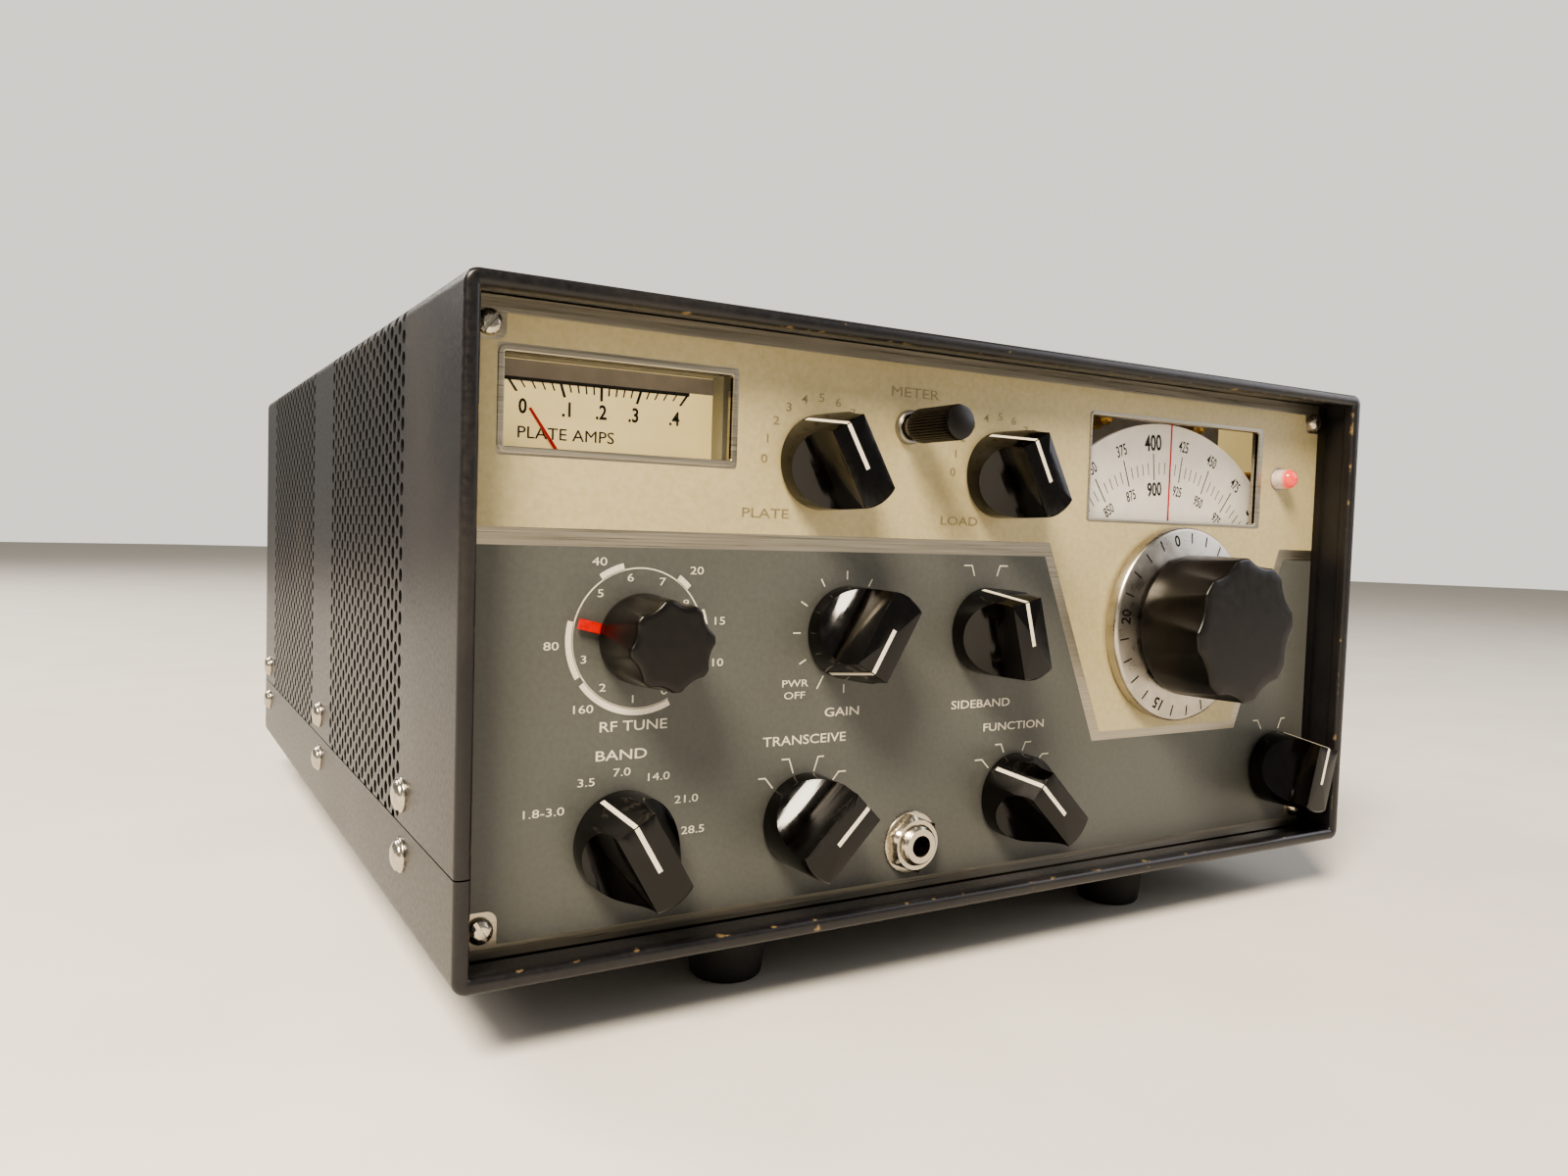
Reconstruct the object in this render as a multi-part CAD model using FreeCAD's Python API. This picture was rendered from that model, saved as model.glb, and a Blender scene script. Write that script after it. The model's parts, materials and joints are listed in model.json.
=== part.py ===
"""A tabletop ham radio transmitter, built as an assembly of its separate pieces.

Millimetres. +X is to the right as the operator sees it, +Y runs from the front to the back and
+Z is up. The origin is on the table, under the middle of the whole object, feet included.
Inside the script a place on the set is given as (x, depth, height): x from the centre line,
depth back from the front rim of the cabinet, and height above the cabinet's bottom face.
"""
import FreeCAD, Part
import math
import os

from FreeCAD import Vector

os.makedirs("parts", exist_ok=True)

# Cabinet
CAB_WIDTH = 273.0
CAB_HEIGHT = 136.9
CAB_DEPTH = 302.0
SHEET = 1.3
BEND_RADIUS = 3.0
SPLIT_HEIGHT = 22.5
SPLIT_GAP = 0.3
RIM_THICK = 3.4
RIM_ROUND = 1.5
HEM_THICK = 2.4
HEM_DEPTH = 10.4
FOOT_HEIGHT = 16.0
FOOT_RADIUS = 10.0
FOOT_X = 64.5
FOOT_DEPTHS = (26.0, 268.0)
SIDE_SCREW_DEPTHS = (45.0, 160.0, 287.0)
SIDE_SCREW_HEIGHTS = (16.0, 29.5)

# Origin of the row, from the front rim and the bottom of the cabinet
FRONT_Y = -150.0
BASE_Z = FOOT_HEIGHT

# Front panel and the plate behind it
PANEL_FACE = 11.0
PANEL_THICK = 2.0
PANEL_BACK = PANEL_FACE + PANEL_THICK
PANEL_HALF_WIDTH = 131.5
PANEL_LOW = 2.6
PANEL_HIGH = 134.3
PANEL_CORNERS = ((-128.8, 128.8), (128.8, 128.8), (-128.5, 8.6), (128.5, 8.6))
SUB_FACE = 30.0
SUB_BACK = 31.2
METER_WINDOW = (-125.5, -74.9, 105.2, 123.7)
DIAL_WINDOW = (34.4, 103.2, 96.5, 124.0)
LAMP_AT = (113.2, 110.6)
LAMP_RADIUS = 2.9

# Control axes: (x, height)
TUNING_AT = (69.5, 67.3)
RF_TUNE_AT = (-95.6, 66.5)
PLATE_AT = (-51.8, 106.1)
LOAD_AT = (1.9, 106.0)
GAIN_AT = (-43.1, 66.9)
SIDEBAND_AT = (-0.8, 66.5)
BAND_AT = (-98.6, 23.5)
TRANSCEIVE_AT = (-53.4, 23.5)
FUNCTION_AT = (10.9, 23.5)
CRYSTAL_AT = (116.7, 22.5)
METER_SWITCH_AT = (-26.8, 116.0)
MIC_AT = (-22.0, 14.5)
SWITCHED_AT = (GAIN_AT, SIDEBAND_AT, BAND_AT, TRANSCEIVE_AT, FUNCTION_AT, CRYSTAL_AT)

# Where each pointer stands at rest, degrees counter-clockwise from the right
PLATE_POINTER = 120.0
LOAD_POINTER = 118.0
GAIN_POINTER = 240.0
SIDEBAND_POINTER = 105.0
BAND_POINTER = 120.0
TRANSCEIVE_POINTER = 45.0
FUNCTION_POINTER = 135.0
CRYSTAL_POINTER = 75.0
RF_TUNE_POINTER = 166.0

# Knobs and shafts
SHAFT_RADIUS = 3.175
SHAFT_RUN = 0.07
PANEL_HOLE = 5.2
BAR_KNOB_RADIUS = 11.0
BAR_KNOB_TOP_RADIUS = 10.6
BAR_KNOB_GAP = 0.6
BAR_KNOB_HEIGHT = 17.4
BAR_SCOOP_RADIUS = 13.0
BAR_SCOOP_X = 17.4
BAR_SCOOP_RISE = 15.8
BAR_NOSE_TOP = 8.7
BAR_NOSE_FOOT = 10.9
FLUTES = 8
RF_KNOB_RADIUS = 9.6
RF_KNOB_FACE = 17.7
TUNING_KNOB_RADIUS = 19.7
TUNING_KNOB_FACE = 25.0
TUNING_KNOB_BACK = 6.0
SKIRT_RADIUS = 27.5
SKIRT_FACE = 5.2

# Tuning dial
DIAL_DEPTH = 16.5
DIAL_THICK = 1.2
DIAL_RADIUS = 57.0

# Meter
METER_CASE = (-126.5, -73.9, 76.0, 125.2)
METER_BACK = 45.0
METER_PIVOT = (-101.9, 90.9)
METER_SCALE_DEPTH = 19.6
NEEDLE_DEPTH = 18.2
NEEDLE_LENGTH = 27.9
NEEDLE_LEAN = 35.0

# Chassis
CHASSIS_HALF_WIDTH = 134.9
CHASSIS_SHEET = 1.2
DECK_TOP = 50.0
CHASSIS_LOW = 6.0
CHASSIS_FRONT = 31.5
CHASSIS_BACK = 298.0

# Tuning capacitors
VANE_RADIUS = 15.0
VANE_THICK = 0.8
VANE_PITCH = 4.0
VANES = 9
CAPACITOR_DEPTH = 182.0

# Radio-frequency coils and their sliding cores
COIL_XS = (-113.0, -80.0)
COIL_DEPTHS = (80.0, 116.0)
COIL_TOP = 92.0
RACK_LOW = 104.0
RACK_THICK = 1.6

# Tubes and coil cans on the deck: (x, depth)
SMALL_TUBES_AT = (
    (62.0, 160.0),
    (62.0, 205.0),
    (62.0, 250.0),
    (-104.0, 160.0),
    (-104.0, 215.0),
    (-30.0, 130.0),
    (10.0, 130.0),
)
COIL_CANS_AT = (
    (98.0, 155.0),
    (98.0, 190.0),
    (98.0, 225.0),
    (98.0, 260.0),
    (-60.0, 130.0),
    (-104.0, 262.0),
)

# Rear connectors
FLANGE = 1.6
MIC_BORE = 2.65
KEY_BORE = 3.2
ANTENNA_AT = (-104.0, 29.0)
PHONO_XS = (-70.0, -50.0, -30.0, -10.0, 10.0, 30.0)
REAR_JACK_HEIGHT = 29.0
KEY_JACK_X = 54.0
POWER_X = 98.0
REAR_REACH = 314.0


def save(name, shape):
    """Writes one piece to its own file."""
    shape.exportStep("parts/%s.step" % name)


def at(x, depth, height):
    """A place on the set, in the row's own frame."""
    return Vector(x, FRONT_Y + depth, BASE_Z + height)


def block(x0, x1, d0, d1, h0, h1):
    """A rectangular block between two x, two depths and two heights."""
    return Part.makeBox(x1 - x0, d1 - d0, h1 - h0, at(x0, d0, h0))


def rod(place, radius, d0, d1):
    """A round rod that runs front to back."""
    return Part.makeCylinder(radius, d1 - d0, at(place[0], d0, place[1]), Vector(0, 1, 0))


def post(x, depth, radius, h0, h1):
    """A round post that stands up."""
    return Part.makeCylinder(radius, h1 - h0, at(x, depth, h0), Vector(0, 0, 1))


def spun(profile, place):
    """A solid of revolution about a front-to-back axis; profile is (radius, depth) corners."""
    points = [at(place[0] + r, d, place[1]) for r, d in profile]
    face = Part.Face(Part.makePolygon(points + [points[0]]))
    return face.revolve(at(place[0], 0, place[1]), Vector(0, 1, 0), 360)


def stood(profile, x, depth):
    """A solid of revolution about an upright axis; profile is (radius, height) corners."""
    points = [at(x + r, depth, h) for r, h in profile]
    face = Part.Face(Part.makePolygon(points + [points[0]]))
    return face.revolve(at(x, depth, 0), Vector(0, 0, 1), 360)


def fused(shapes):
    """Joins touching shapes into one solid."""
    result = shapes[0]
    for shape in shapes[1:]:
        result = result.fuse(shape)
    return result.removeSplitter()


def cut_all(shape, tools):
    """Removes each tool from a shape."""
    for tool in tools:
        shape = shape.cut(tool)
    return shape


def turned(shape, place, degrees):
    """Turns a shape about a control's axis, counter-clockwise as the operator sees it."""
    result = shape.copy()
    result.rotate(at(place[0], 0, place[1]), Vector(0, -1, 0), degrees)
    return result


def hexagon(place, across_flats, d0, d1, lean=0.0):
    """A hexagonal prism that runs front to back."""
    corner = across_flats / math.sqrt(3.0)
    points = []
    for i in range(6):
        a = math.radians(60.0 * i + lean)
        points.append(at(place[0] + corner * math.cos(a), d0, place[1] + corner * math.sin(a)))
    face = Part.Face(Part.makePolygon(points + [points[0]]))
    return face.extrude(Vector(0, d1 - d0, 0))


# Cabinet


def rounded_tube(inset, d0, d1):
    """A solid bar as wide and high as the cabinet less the inset, with rounded long edges."""
    half = CAB_WIDTH / 2.0 - inset
    bar = block(-half, half, d0, d1, inset, CAB_HEIGHT - inset)
    radius = max(BEND_RADIUS - inset, 0.6)
    edges = []
    for edge in bar.Edges:
        way = edge.tangentAt(edge.FirstParameter)
        if abs(way.y) > 0.9:
            edges.append(edge)
    return bar.makeFillet(radius, edges)


def cabinet_shell():
    """The full wrap-round skin, with its hemmed front and the rounded rim."""
    skin = rounded_tube(0.0, 0.0, CAB_DEPTH).cut(rounded_tube(SHEET, -1.0, CAB_DEPTH + 1.0))
    hem = rounded_tube(0.5, 0.0, HEM_DEPTH).cut(rounded_tube(HEM_THICK, -1.0, HEM_DEPTH + 1.0))
    rim = rounded_tube(0.5, 0.0, RIM_THICK).cut(rounded_tube(RIM_THICK, -1.0, RIM_THICK + 1.0))
    shell = fused([skin, hem, rim])
    edges = []
    for edge in shell.Edges:
        box = edge.BoundBox
        if box.YMax < FRONT_Y + 0.01:
            edges.append(edge)
    return shell.makeFillet(RIM_ROUND, edges)


def screw_holes(heights, radius):
    """Clearance for the side screws through both side walls."""
    tools = []
    for depth in SIDE_SCREW_DEPTHS:
        for height in heights:
            for side in (-1, 1):
                start = at(side * 125.0, depth, height)
                tools.append(Part.makeCylinder(radius, 20.0, start, Vector(side, 0, 0)))
    return tools


def top_cover(shell):
    """The upper wrap: top and both sides down to the split."""
    keep = block(-200, 200, -5, 400, SPLIT_HEIGHT + SPLIT_GAP, 300)
    return cut_all(shell.common(keep), screw_holes(SIDE_SCREW_HEIGHTS[1:], 2.2))


def bottom_cover(shell):
    """The lower tray: bottom and both sides up to the split."""
    keep = block(-200, 200, -5, 400, -5, SPLIT_HEIGHT)
    tray = cut_all(shell.common(keep), screw_holes(SIDE_SCREW_HEIGHTS[:1], 2.2))
    for depth in FOOT_DEPTHS:
        for side in (-1, 1):
            tray = tray.cut(post(side * FOOT_X, depth, 2.2, -1, 3))
    return tray


def side_screws():
    """Domed screws that hold both covers to the chassis, three pairs on each side."""
    screws = []
    shank = ((0.0, -7.0), (1.9, -7.0), (1.9, 0.0))
    head = ((4.0, 0.0), (4.0, 0.7), (3.4, 1.5), (2.0, 2.1), (0.0, 2.3))
    profile = shank + head
    for depth in SIDE_SCREW_DEPTHS:
        for height in SIDE_SCREW_HEIGHTS:
            for side in (-1, 1):
                points = []
                for radius, out in profile:
                    points.append(at(side * (CAB_WIDTH / 2.0 + out), depth + radius, height))
                face = Part.Face(Part.makePolygon(points + [points[0]]))
                screws.append(face.revolve(at(0, depth, height), Vector(side, 0, 0), 360))
    return Part.makeCompound(screws)


def rubber_feet():
    """Four tapered rubber feet with a counterbore for the screw."""
    feet = []
    for depth in FOOT_DEPTHS:
        for side in (-1, 1):
            profile = (
                (2.0, -6.0),
                (2.0, 0.0),
                (FOOT_RADIUS, 0.0),
                (FOOT_RADIUS, -3.0),
                (FOOT_RADIUS - 1.4, -FOOT_HEIGHT + 0.8),
                (FOOT_RADIUS - 2.2, -FOOT_HEIGHT),
                (5.0, -FOOT_HEIGHT),
                (5.0, -6.0),
            )
            feet.append(stood(profile, side * FOOT_X, depth))
    return Part.makeCompound(feet)


def foot_screws():
    """The screw up through each foot into its nut inside the tray."""
    screws = []
    for depth in FOOT_DEPTHS:
        for side in (-1, 1):
            head = ((0.0, -9.0), (3.6, -9.0), (3.9, -6.1), (1.9, -6.1))
            nut = ((1.9, SHEET), (3.6, SHEET), (3.6, 4.0), (0.0, 4.0))
            screws.append(stood(head + nut, side * FOOT_X, depth))
    return Part.makeCompound(screws)


# Front panel


def control_places():
    """Every knob shaft that comes through the front."""
    return (
        TUNING_AT,
        RF_TUNE_AT,
        PLATE_AT,
        LOAD_AT,
        GAIN_AT,
        SIDEBAND_AT,
        BAND_AT,
        TRANSCEIVE_AT,
        FUNCTION_AT,
        CRYSTAL_AT,
    )


def window(edges, grow, d0, d1):
    """A rectangular block through a panel window; edges are x, x, height, height."""
    return block(edges[0] - grow, edges[1] + grow, d0, d1, edges[2] - grow, edges[3] + grow)


def front_panel():
    """The aluminium panel with its windows and holes."""
    plate = block(-PANEL_HALF_WIDTH, PANEL_HALF_WIDTH, PANEL_FACE, PANEL_BACK, PANEL_LOW, PANEL_HIGH)
    tools = [window(METER_WINDOW, 0.0, 5, 20), window(DIAL_WINDOW, 0.0, 5, 20)]
    for place in control_places():
        tools.append(rod(place, PANEL_HOLE, 5, 20))
    for place in PANEL_CORNERS:
        tools.append(rod(place, 1.65, 5, 20))
    tools.append(rod(LAMP_AT, LAMP_RADIUS + 0.05, 5, 20))
    tools.append(rod(METER_SWITCH_AT, 3.5, 5, 20))
    tools.append(rod(MIC_AT, 4.8, 5, 20))
    return cut_all(plate, tools)


def pan_screw(place, seat, way, lean):
    """A slotted pan-head screw whose head sits on a face at a depth; way 1 drives it rearwards."""
    head = ((0.0, -2.1), (1.6, -2.0), (2.4, -1.4), (2.7, -0.6), (2.7, 0.0))
    shank = ((1.6, 0.0), (1.6, 6.0), (0.0, 6.0))
    profile = [(radius, seat + way * reach) for radius, reach in head + shank]
    low, high = sorted((seat - way * 1.3, seat - way * 3.0))
    slot = block(place[0] - 3.0, place[0] + 3.0, low, high, place[1] - 0.4, place[1] + 0.4)
    return turned(spun(profile, place).cut(slot), place, lean)


def antenna_flange_holes():
    """The four corners of the antenna socket's flange."""
    places = []
    for sx in (-1, 1):
        for sz in (-1, 1):
            places.append((ANTENNA_AT[0] + sx * 9.1, ANTENNA_AT[1] + sz * 9.1))
    return places


def power_flange_holes():
    """The two ends of the power inlet's flange."""
    return [(POWER_X - 23.5, REAR_JACK_HEIGHT), (POWER_X + 23.5, REAR_JACK_HEIGHT)]


def panel_screws():
    """The slotted screws of the front panel's corners and of the two rear flanges."""
    screws = []
    for i, place in enumerate(PANEL_CORNERS):
        screws.append(pan_screw(place, PANEL_FACE, 1, 50.0 + 35.0 * i))
    for i, place in enumerate(antenna_flange_holes() + power_flange_holes()):
        screws.append(pan_screw(place, CHASSIS_BACK + FLANGE, -1, 20.0 + 50.0 * i))
    return Part.makeCompound(screws)


def sub_panel():
    """The steel plate that carries the controls, with four posts and the RF tuning bearing."""
    parts = [block(-133.0, 133.0, SUB_FACE, SUB_BACK, 3.0, 134.0)]
    for place in PANEL_CORNERS:
        parts.append(rod(place, 2.8, PANEL_BACK, SUB_FACE + 0.2))
    parts.append(rod(RF_TUNE_AT, 5.0, 25.0, SUB_BACK + 4.0))
    plate = fused(parts)
    tools = [window(METER_CASE, 0.4, 25, 40)]
    for place in PANEL_CORNERS:
        tools.append(rod(place, 1.65, 12, 40))
    for place in SWITCHED_AT:
        tools.append(rod(place, 4.8, 25, 40))
    tools.append(rod(RF_TUNE_AT, SHAFT_RADIUS + SHAFT_RUN, 20, 40))
    for place in (PLATE_AT, LOAD_AT, TUNING_AT):
        tools.append(rod(place, PANEL_HOLE, 25, 40))
    for place in lamp_places():
        tools.append(rod(place, 3.6, 25, 40))
    tools.append(rod(MIC_AT, 7.0, 25, 40))
    return cut_all(plate, tools)


def lamp_places():
    """The pilot lamp and the two lamps behind the dial."""
    return (LAMP_AT, (50.0, 125.5), (89.0, 125.5))


def panel_lamps():
    """Bayonet lamps in their holders, held in the sub-panel."""
    lamps = []
    for place in lamp_places():
        front = 19.5
        if place == LAMP_AT:
            front = 14.4
        bulb = ((0.0, front), (1.6, front + 0.3), (2.5, front + 1.6), (2.5, 25.0))
        holder = ((3.5, 25.0), (3.5, 38.0), (0.0, 38.0))
        lamps.append(spun(bulb + holder, place))
    return Part.makeCompound(lamps)


def pilot_lens():
    """The pilot lamp's clear barrel with a domed end."""
    profile = (
        (0.0, 5.0),
        (1.4, 5.2),
        (2.4, 5.9),
        (LAMP_RADIUS, 7.2),
        (LAMP_RADIUS, PANEL_BACK),
        (3.3, PANEL_BACK),
        (3.3, 14.0),
        (0.0, 14.0),
    )
    return spun(profile, LAMP_AT)


def dial_window():
    """The clear plate behind the dial opening."""
    return window(DIAL_WINDOW, 2.4, PANEL_BACK, PANEL_BACK + 1.5)


# Meter


def meter_case():
    """The open-fronted case of the meter."""
    outer = window(METER_CASE, 0.0, 14.4, METER_BACK)
    inner = window(METER_CASE, -1.5, 10.0, METER_BACK - 1.5)
    return outer.cut(inner)


def meter_lens():
    """The clear cover over the meter scale, held against the panel."""
    return window(METER_CASE, 0.0, PANEL_BACK, 14.4).cut(window((-150, 0, 60, 100), 0.0, 10, 20))


def meter_scale():
    """The printed scale plate."""
    edges = (METER_CASE[0], METER_CASE[1], 86.0, METER_CASE[3])
    plate = window(edges, -1.5, METER_SCALE_DEPTH, METER_SCALE_DEPTH + 0.6)
    return plate.cut(rod(METER_PIVOT, 1.6, 15, 25))


def meter_movement():
    """The magnet and coil frame behind the scale plate."""
    drum = rod(METER_PIVOT, 11.0, METER_SCALE_DEPTH + 1.4, METER_BACK - 1.5)
    return drum.cut(rod(METER_PIVOT, 1.2, 15, 30))


def meter_needle():
    """The needle with its hub, tail weight and pivot."""
    x, height = METER_PIVOT
    d0, d1 = NEEDLE_DEPTH, NEEDLE_DEPTH + 0.4
    hub = rod(METER_PIVOT, 2.4, d0, d1)
    pivot = rod(METER_PIVOT, 0.8, NEEDLE_DEPTH - 0.4, 26.0)
    points = [
        at(x - 0.6, d0, height - 7.0),
        at(x + 0.6, d0, height - 7.0),
        at(x + 0.25, d0, height + NEEDLE_LENGTH),
        at(x - 0.25, d0, height + NEEDLE_LENGTH),
    ]
    arm = Part.Face(Part.makePolygon(points + [points[0]])).extrude(Vector(0, d1 - d0, 0))
    tail = rod((x, height - 7.0), 1.3, d0, d1)
    return turned(fused([hub, pivot, arm, tail]), METER_PIVOT, NEEDLE_LEAN)


# Tuning dial and knob


def dial_disc():
    """The large dial disc with its hub, which turns on the tuning shaft."""
    disc = rod(TUNING_AT, DIAL_RADIUS, DIAL_DEPTH, DIAL_DEPTH + DIAL_THICK)
    hub = rod(TUNING_AT, 8.0, DIAL_DEPTH + DIAL_THICK, 26.0)
    return fused([disc, hub]).cut(rod(TUNING_AT, SHAFT_RADIUS + SHAFT_RUN, 10, 30))


def fluted(place, radius, back, face, flute, bite, foot):
    """A round knob with scallops that deepen towards its face; depths are above the panel."""
    d_back, d_face = PANEL_FACE - back, PANEL_FACE - face
    profile = (
        (0.0, d_face),
        (radius - 1.6, d_face),
        (radius - 0.7, d_face + 0.25),
        (radius - 0.2, d_face + 0.9),
        (radius + 0.1, d_back),
        (0.0, d_back),
    )
    body = spun(profile, place)
    reach = radius + flute - bite
    for i in range(FLUTES):
        a = math.radians(45.0 * i + 22.5 + 8.0)
        spot = (place[0] + reach * math.cos(a), place[1] + reach * math.sin(a))
        start = at(spot[0], d_face - 1.0, spot[1])
        depth = d_back - foot - d_face + 1.0
        body = body.cut(Part.makeCone(flute + 0.1, flute - bite + 0.3, depth, start, Vector(0, 1, 0)))
    return body.cut(rod(place, SHAFT_RADIUS + 0.01, d_back - (face - back) * 0.7, d_back + 1))


def tuning_skirt():
    """The turned dial ring behind the tuning knob."""
    profile = (
        (6.0, PANEL_FACE - SKIRT_FACE - 0.3),
        (18.5, PANEL_FACE - SKIRT_FACE - 0.3),
        (19.5, PANEL_FACE - SKIRT_FACE),
        (26.9, PANEL_FACE - SKIRT_FACE + 0.9),
        (SKIRT_RADIUS, PANEL_FACE - SKIRT_FACE + 1.6),
        (SKIRT_RADIUS, PANEL_FACE - 0.8),
        (SKIRT_RADIUS - 1.6, PANEL_FACE - 0.8),
        (SKIRT_RADIUS - 1.6, PANEL_FACE - SKIRT_FACE + 2.4),
        (6.0, PANEL_FACE - SKIRT_FACE + 1.8),
    )
    return spun(profile, TUNING_AT)


def tuning_shaft():
    """The steel shaft from the knob to the oscillator, with the collar the skirt rides on."""
    shaft = rod(TUNING_AT, SHAFT_RADIUS, -5.0, 46.0)
    collar = rod(TUNING_AT, 5.7, PANEL_FACE - TUNING_KNOB_BACK, PANEL_FACE - 1.6)
    return fused([shaft, collar])


def oscillator_housing():
    """The sealed oscillator box with the front bearing of the tuning shaft."""
    x, height = TUNING_AT
    shell = block(x - 33.0, x + 33.0, 40.0, 132.0, DECK_TOP, 98.0)
    boss = rod(TUNING_AT, 8.0, 35.0, 40.5)
    lid = block(x - 34.0, x + 34.0, 131.0, 133.0, DECK_TOP, 99.0)
    return fused([shell, boss, lid]).cut(rod(TUNING_AT, SHAFT_RADIUS + SHAFT_RUN, 30, 48))


# RF tuning


def rf_tune_pointer():
    """The flat pointer under the RF tuning knob."""
    x, height = RF_TUNE_AT
    disc = rod(RF_TUNE_AT, 7.5, PANEL_FACE - 1.5, PANEL_FACE - 0.7)
    tab = block(x - 1.1, x + 1.1, PANEL_FACE - 1.5, PANEL_FACE - 0.7, height + 5.0, height + 14.3)
    shape = fused([disc, tab]).cut(rod(RF_TUNE_AT, SHAFT_RADIUS + 0.01, 5, 15))
    return turned(shape, RF_TUNE_AT, RF_TUNE_POINTER - 90.0)


def rf_tune_shaft():
    """The shaft and the drum that drives the core rack."""
    shaft = rod(RF_TUNE_AT, SHAFT_RADIUS, -1.8, 58.0)
    front = ((3.0, 50.0), (11.0, 50.0), (11.0, 51.5), (9.8, 52.5))
    back = ((9.8, 54.0), (11.0, 55.0), (11.0, 56.5), (3.0, 56.5))
    return fused([shaft, spun(front + back, RF_TUNE_AT)])


def rf_coil_forms():
    """Four coil formers on a base strip, and the two guide rods of the rack."""
    strip = block(-121.0, -72.0, 66.0, 130.0, DECK_TOP, DECK_TOP + 3.0)
    parts = [strip]
    for x in COIL_XS:
        for depth in COIL_DEPTHS:
            profile = (
                (3.1, DECK_TOP + 2.0),
                (5.0, DECK_TOP + 2.0),
                (5.0, 58.0),
                (7.5, 58.5),
                (7.5, 72.0),
                (5.0, 72.5),
                (5.0, COIL_TOP),
                (3.1, COIL_TOP),
            )
            parts.append(stood(profile, x, depth))
    for depth in (70.0, 126.0):
        parts.append(post(-96.5, depth, 2.0, DECK_TOP + 2.0, 130.0))
    return fused(parts)


def slug_rack():
    """The plate that carries the four tuning cores up and down together."""
    plate = block(-120.0, -73.0, 65.0, 131.0, RACK_LOW, RACK_LOW + RACK_THICK)
    parts = [plate]
    for x in COIL_XS:
        for depth in COIL_DEPTHS:
            parts.append(post(x, depth, 1.2, 84.0, RACK_LOW + 5.0))
            parts.append(post(x, depth, 2.7, 74.0, 86.0))
    rack = fused(parts)
    for depth in (70.0, 126.0):
        rack = rack.cut(post(-96.5, depth, 2.3, 90.0, 120.0))
    return rack


# Bar knobs, shafts and what they turn


def bar_knob(place, pointer):
    """A round-based knob whose grip is a bar, scooped hollow on both sides of it."""
    d_back = PANEL_FACE - BAR_KNOB_GAP
    d_face = d_back - BAR_KNOB_HEIGHT
    profile = (
        (0.0, d_face),
        (BAR_KNOB_TOP_RADIUS - 0.4, d_face),
        (BAR_KNOB_TOP_RADIUS, d_face + 0.4),
        (BAR_KNOB_RADIUS, d_back - 0.4),
        (BAR_KNOB_RADIUS - 0.3, d_back),
        (0.0, d_back),
    )
    body = spun(profile, place)
    x, height = place
    for side in (-1, 1):
        spot = at(x + side * BAR_SCOOP_X, d_back - BAR_SCOOP_RISE, height - 20.0)
        body = body.cut(Part.makeCylinder(BAR_SCOOP_RADIUS, 40.0, spot, Vector(0, 0, 1)))
    points = [
        at(x - 15.0, d_face - 0.1, height + BAR_NOSE_TOP),
        at(x - 15.0, d_back - 1.5, height + BAR_NOSE_FOOT),
        at(x - 15.0, d_back - 1.5, height + 20.0),
        at(x - 15.0, d_face - 0.1, height + 20.0),
    ]
    nose = Part.Face(Part.makePolygon(points + [points[0]])).extrude(Vector(30.0, 0, 0))
    body = body.cut(nose).cut(rod(place, SHAFT_RADIUS + 0.01, d_back - 13.0, d_back + 1.0))
    return turned(body, place, pointer - 90.0)


def plain_shaft(place, end):
    """A control shaft from inside its knob to its end behind the panel."""
    return rod(place, SHAFT_RADIUS, PANEL_FACE - BAR_KNOB_GAP - 12.5, end)


def capacitor_rotor(place, start, pointer):
    """The long shaft of a tuning capacitor with its half-round vanes."""
    parts = [plain_shaft(place, start + 2.0 * VANES * 2.0 + 12.0)]
    for i in range(VANES):
        d0 = start + 4.0 + VANE_PITCH * i
        vane = rod(place, VANE_RADIUS, d0, d0 + VANE_THICK)
        below = block(place[0] - 30, place[0] + 30, d0 - 1, d0 + 2, place[1] - 30, place[1] - 0.5)
        parts.append(vane.cut(below))
    return turned(fused(parts), place, pointer - 90.0)


def capacitor_stator(place, start):
    """A tuning capacitor's end plates, tie bars and fixed plates."""
    x, height = place
    last = start + VANE_PITCH * VANES + 4.0
    parts = []
    for d0 in (start, last):
        parts.append(block(x - 19, x + 19, d0, d0 + 1.6, height - 19, height + 18))
    for side in (-1, 1):
        parts.append(rod((x + side * 16.5, height - 16.5), 2.0, start, last + 1.6))
    for i in range(VANES - 1):
        d0 = start + 4.0 + VANE_PITCH * (i + 0.5)
        plate = block(x - 18, x + 18, d0, d0 + VANE_THICK, height - 18, height)
        parts.append(plate.cut(rod(place, 5.0, d0 - 1, d0 + 2)))
    parts.append(block(x - 15, x + 15, start, last + 1.6, DECK_TOP, height - 17.5))
    return fused(parts).cut(rod(place, SHAFT_RADIUS + SHAFT_RUN, start - 5, last + 5))


def rotary_switch(place, wafers):
    """A rotary switch: bushing, detent plate, tie rods and contact wafers."""
    x, height = place
    last = SUB_BACK + 6.0 + 14.0 * (wafers - 1)
    parts = [
        rod(place, 4.7, 24.5, SUB_BACK + 1.0),
        rod(place, 13.5, SUB_BACK + 0.2, SUB_BACK + 2.2),
    ]
    for i in range(wafers):
        d0 = SUB_BACK + 6.0 + 14.0 * i
        parts.append(rod(place, 14.5, d0, d0 + 1.6))
    for side in (-1, 1):
        parts.append(rod((x + side * 11.0, height), 1.4, SUB_BACK + 1.0, last + 3.0))
    return fused(parts).cut(rod(place, SHAFT_RADIUS + SHAFT_RUN, 20, last + 10))


def rotary_switches():
    """The five rotary switches behind the sub-panel."""
    switches = [rotary_switch(BAND_AT, 5)]
    for place in (SIDEBAND_AT, TRANSCEIVE_AT, FUNCTION_AT, CRYSTAL_AT):
        switches.append(rotary_switch(place, 2))
    return Part.makeCompound(switches)


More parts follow.
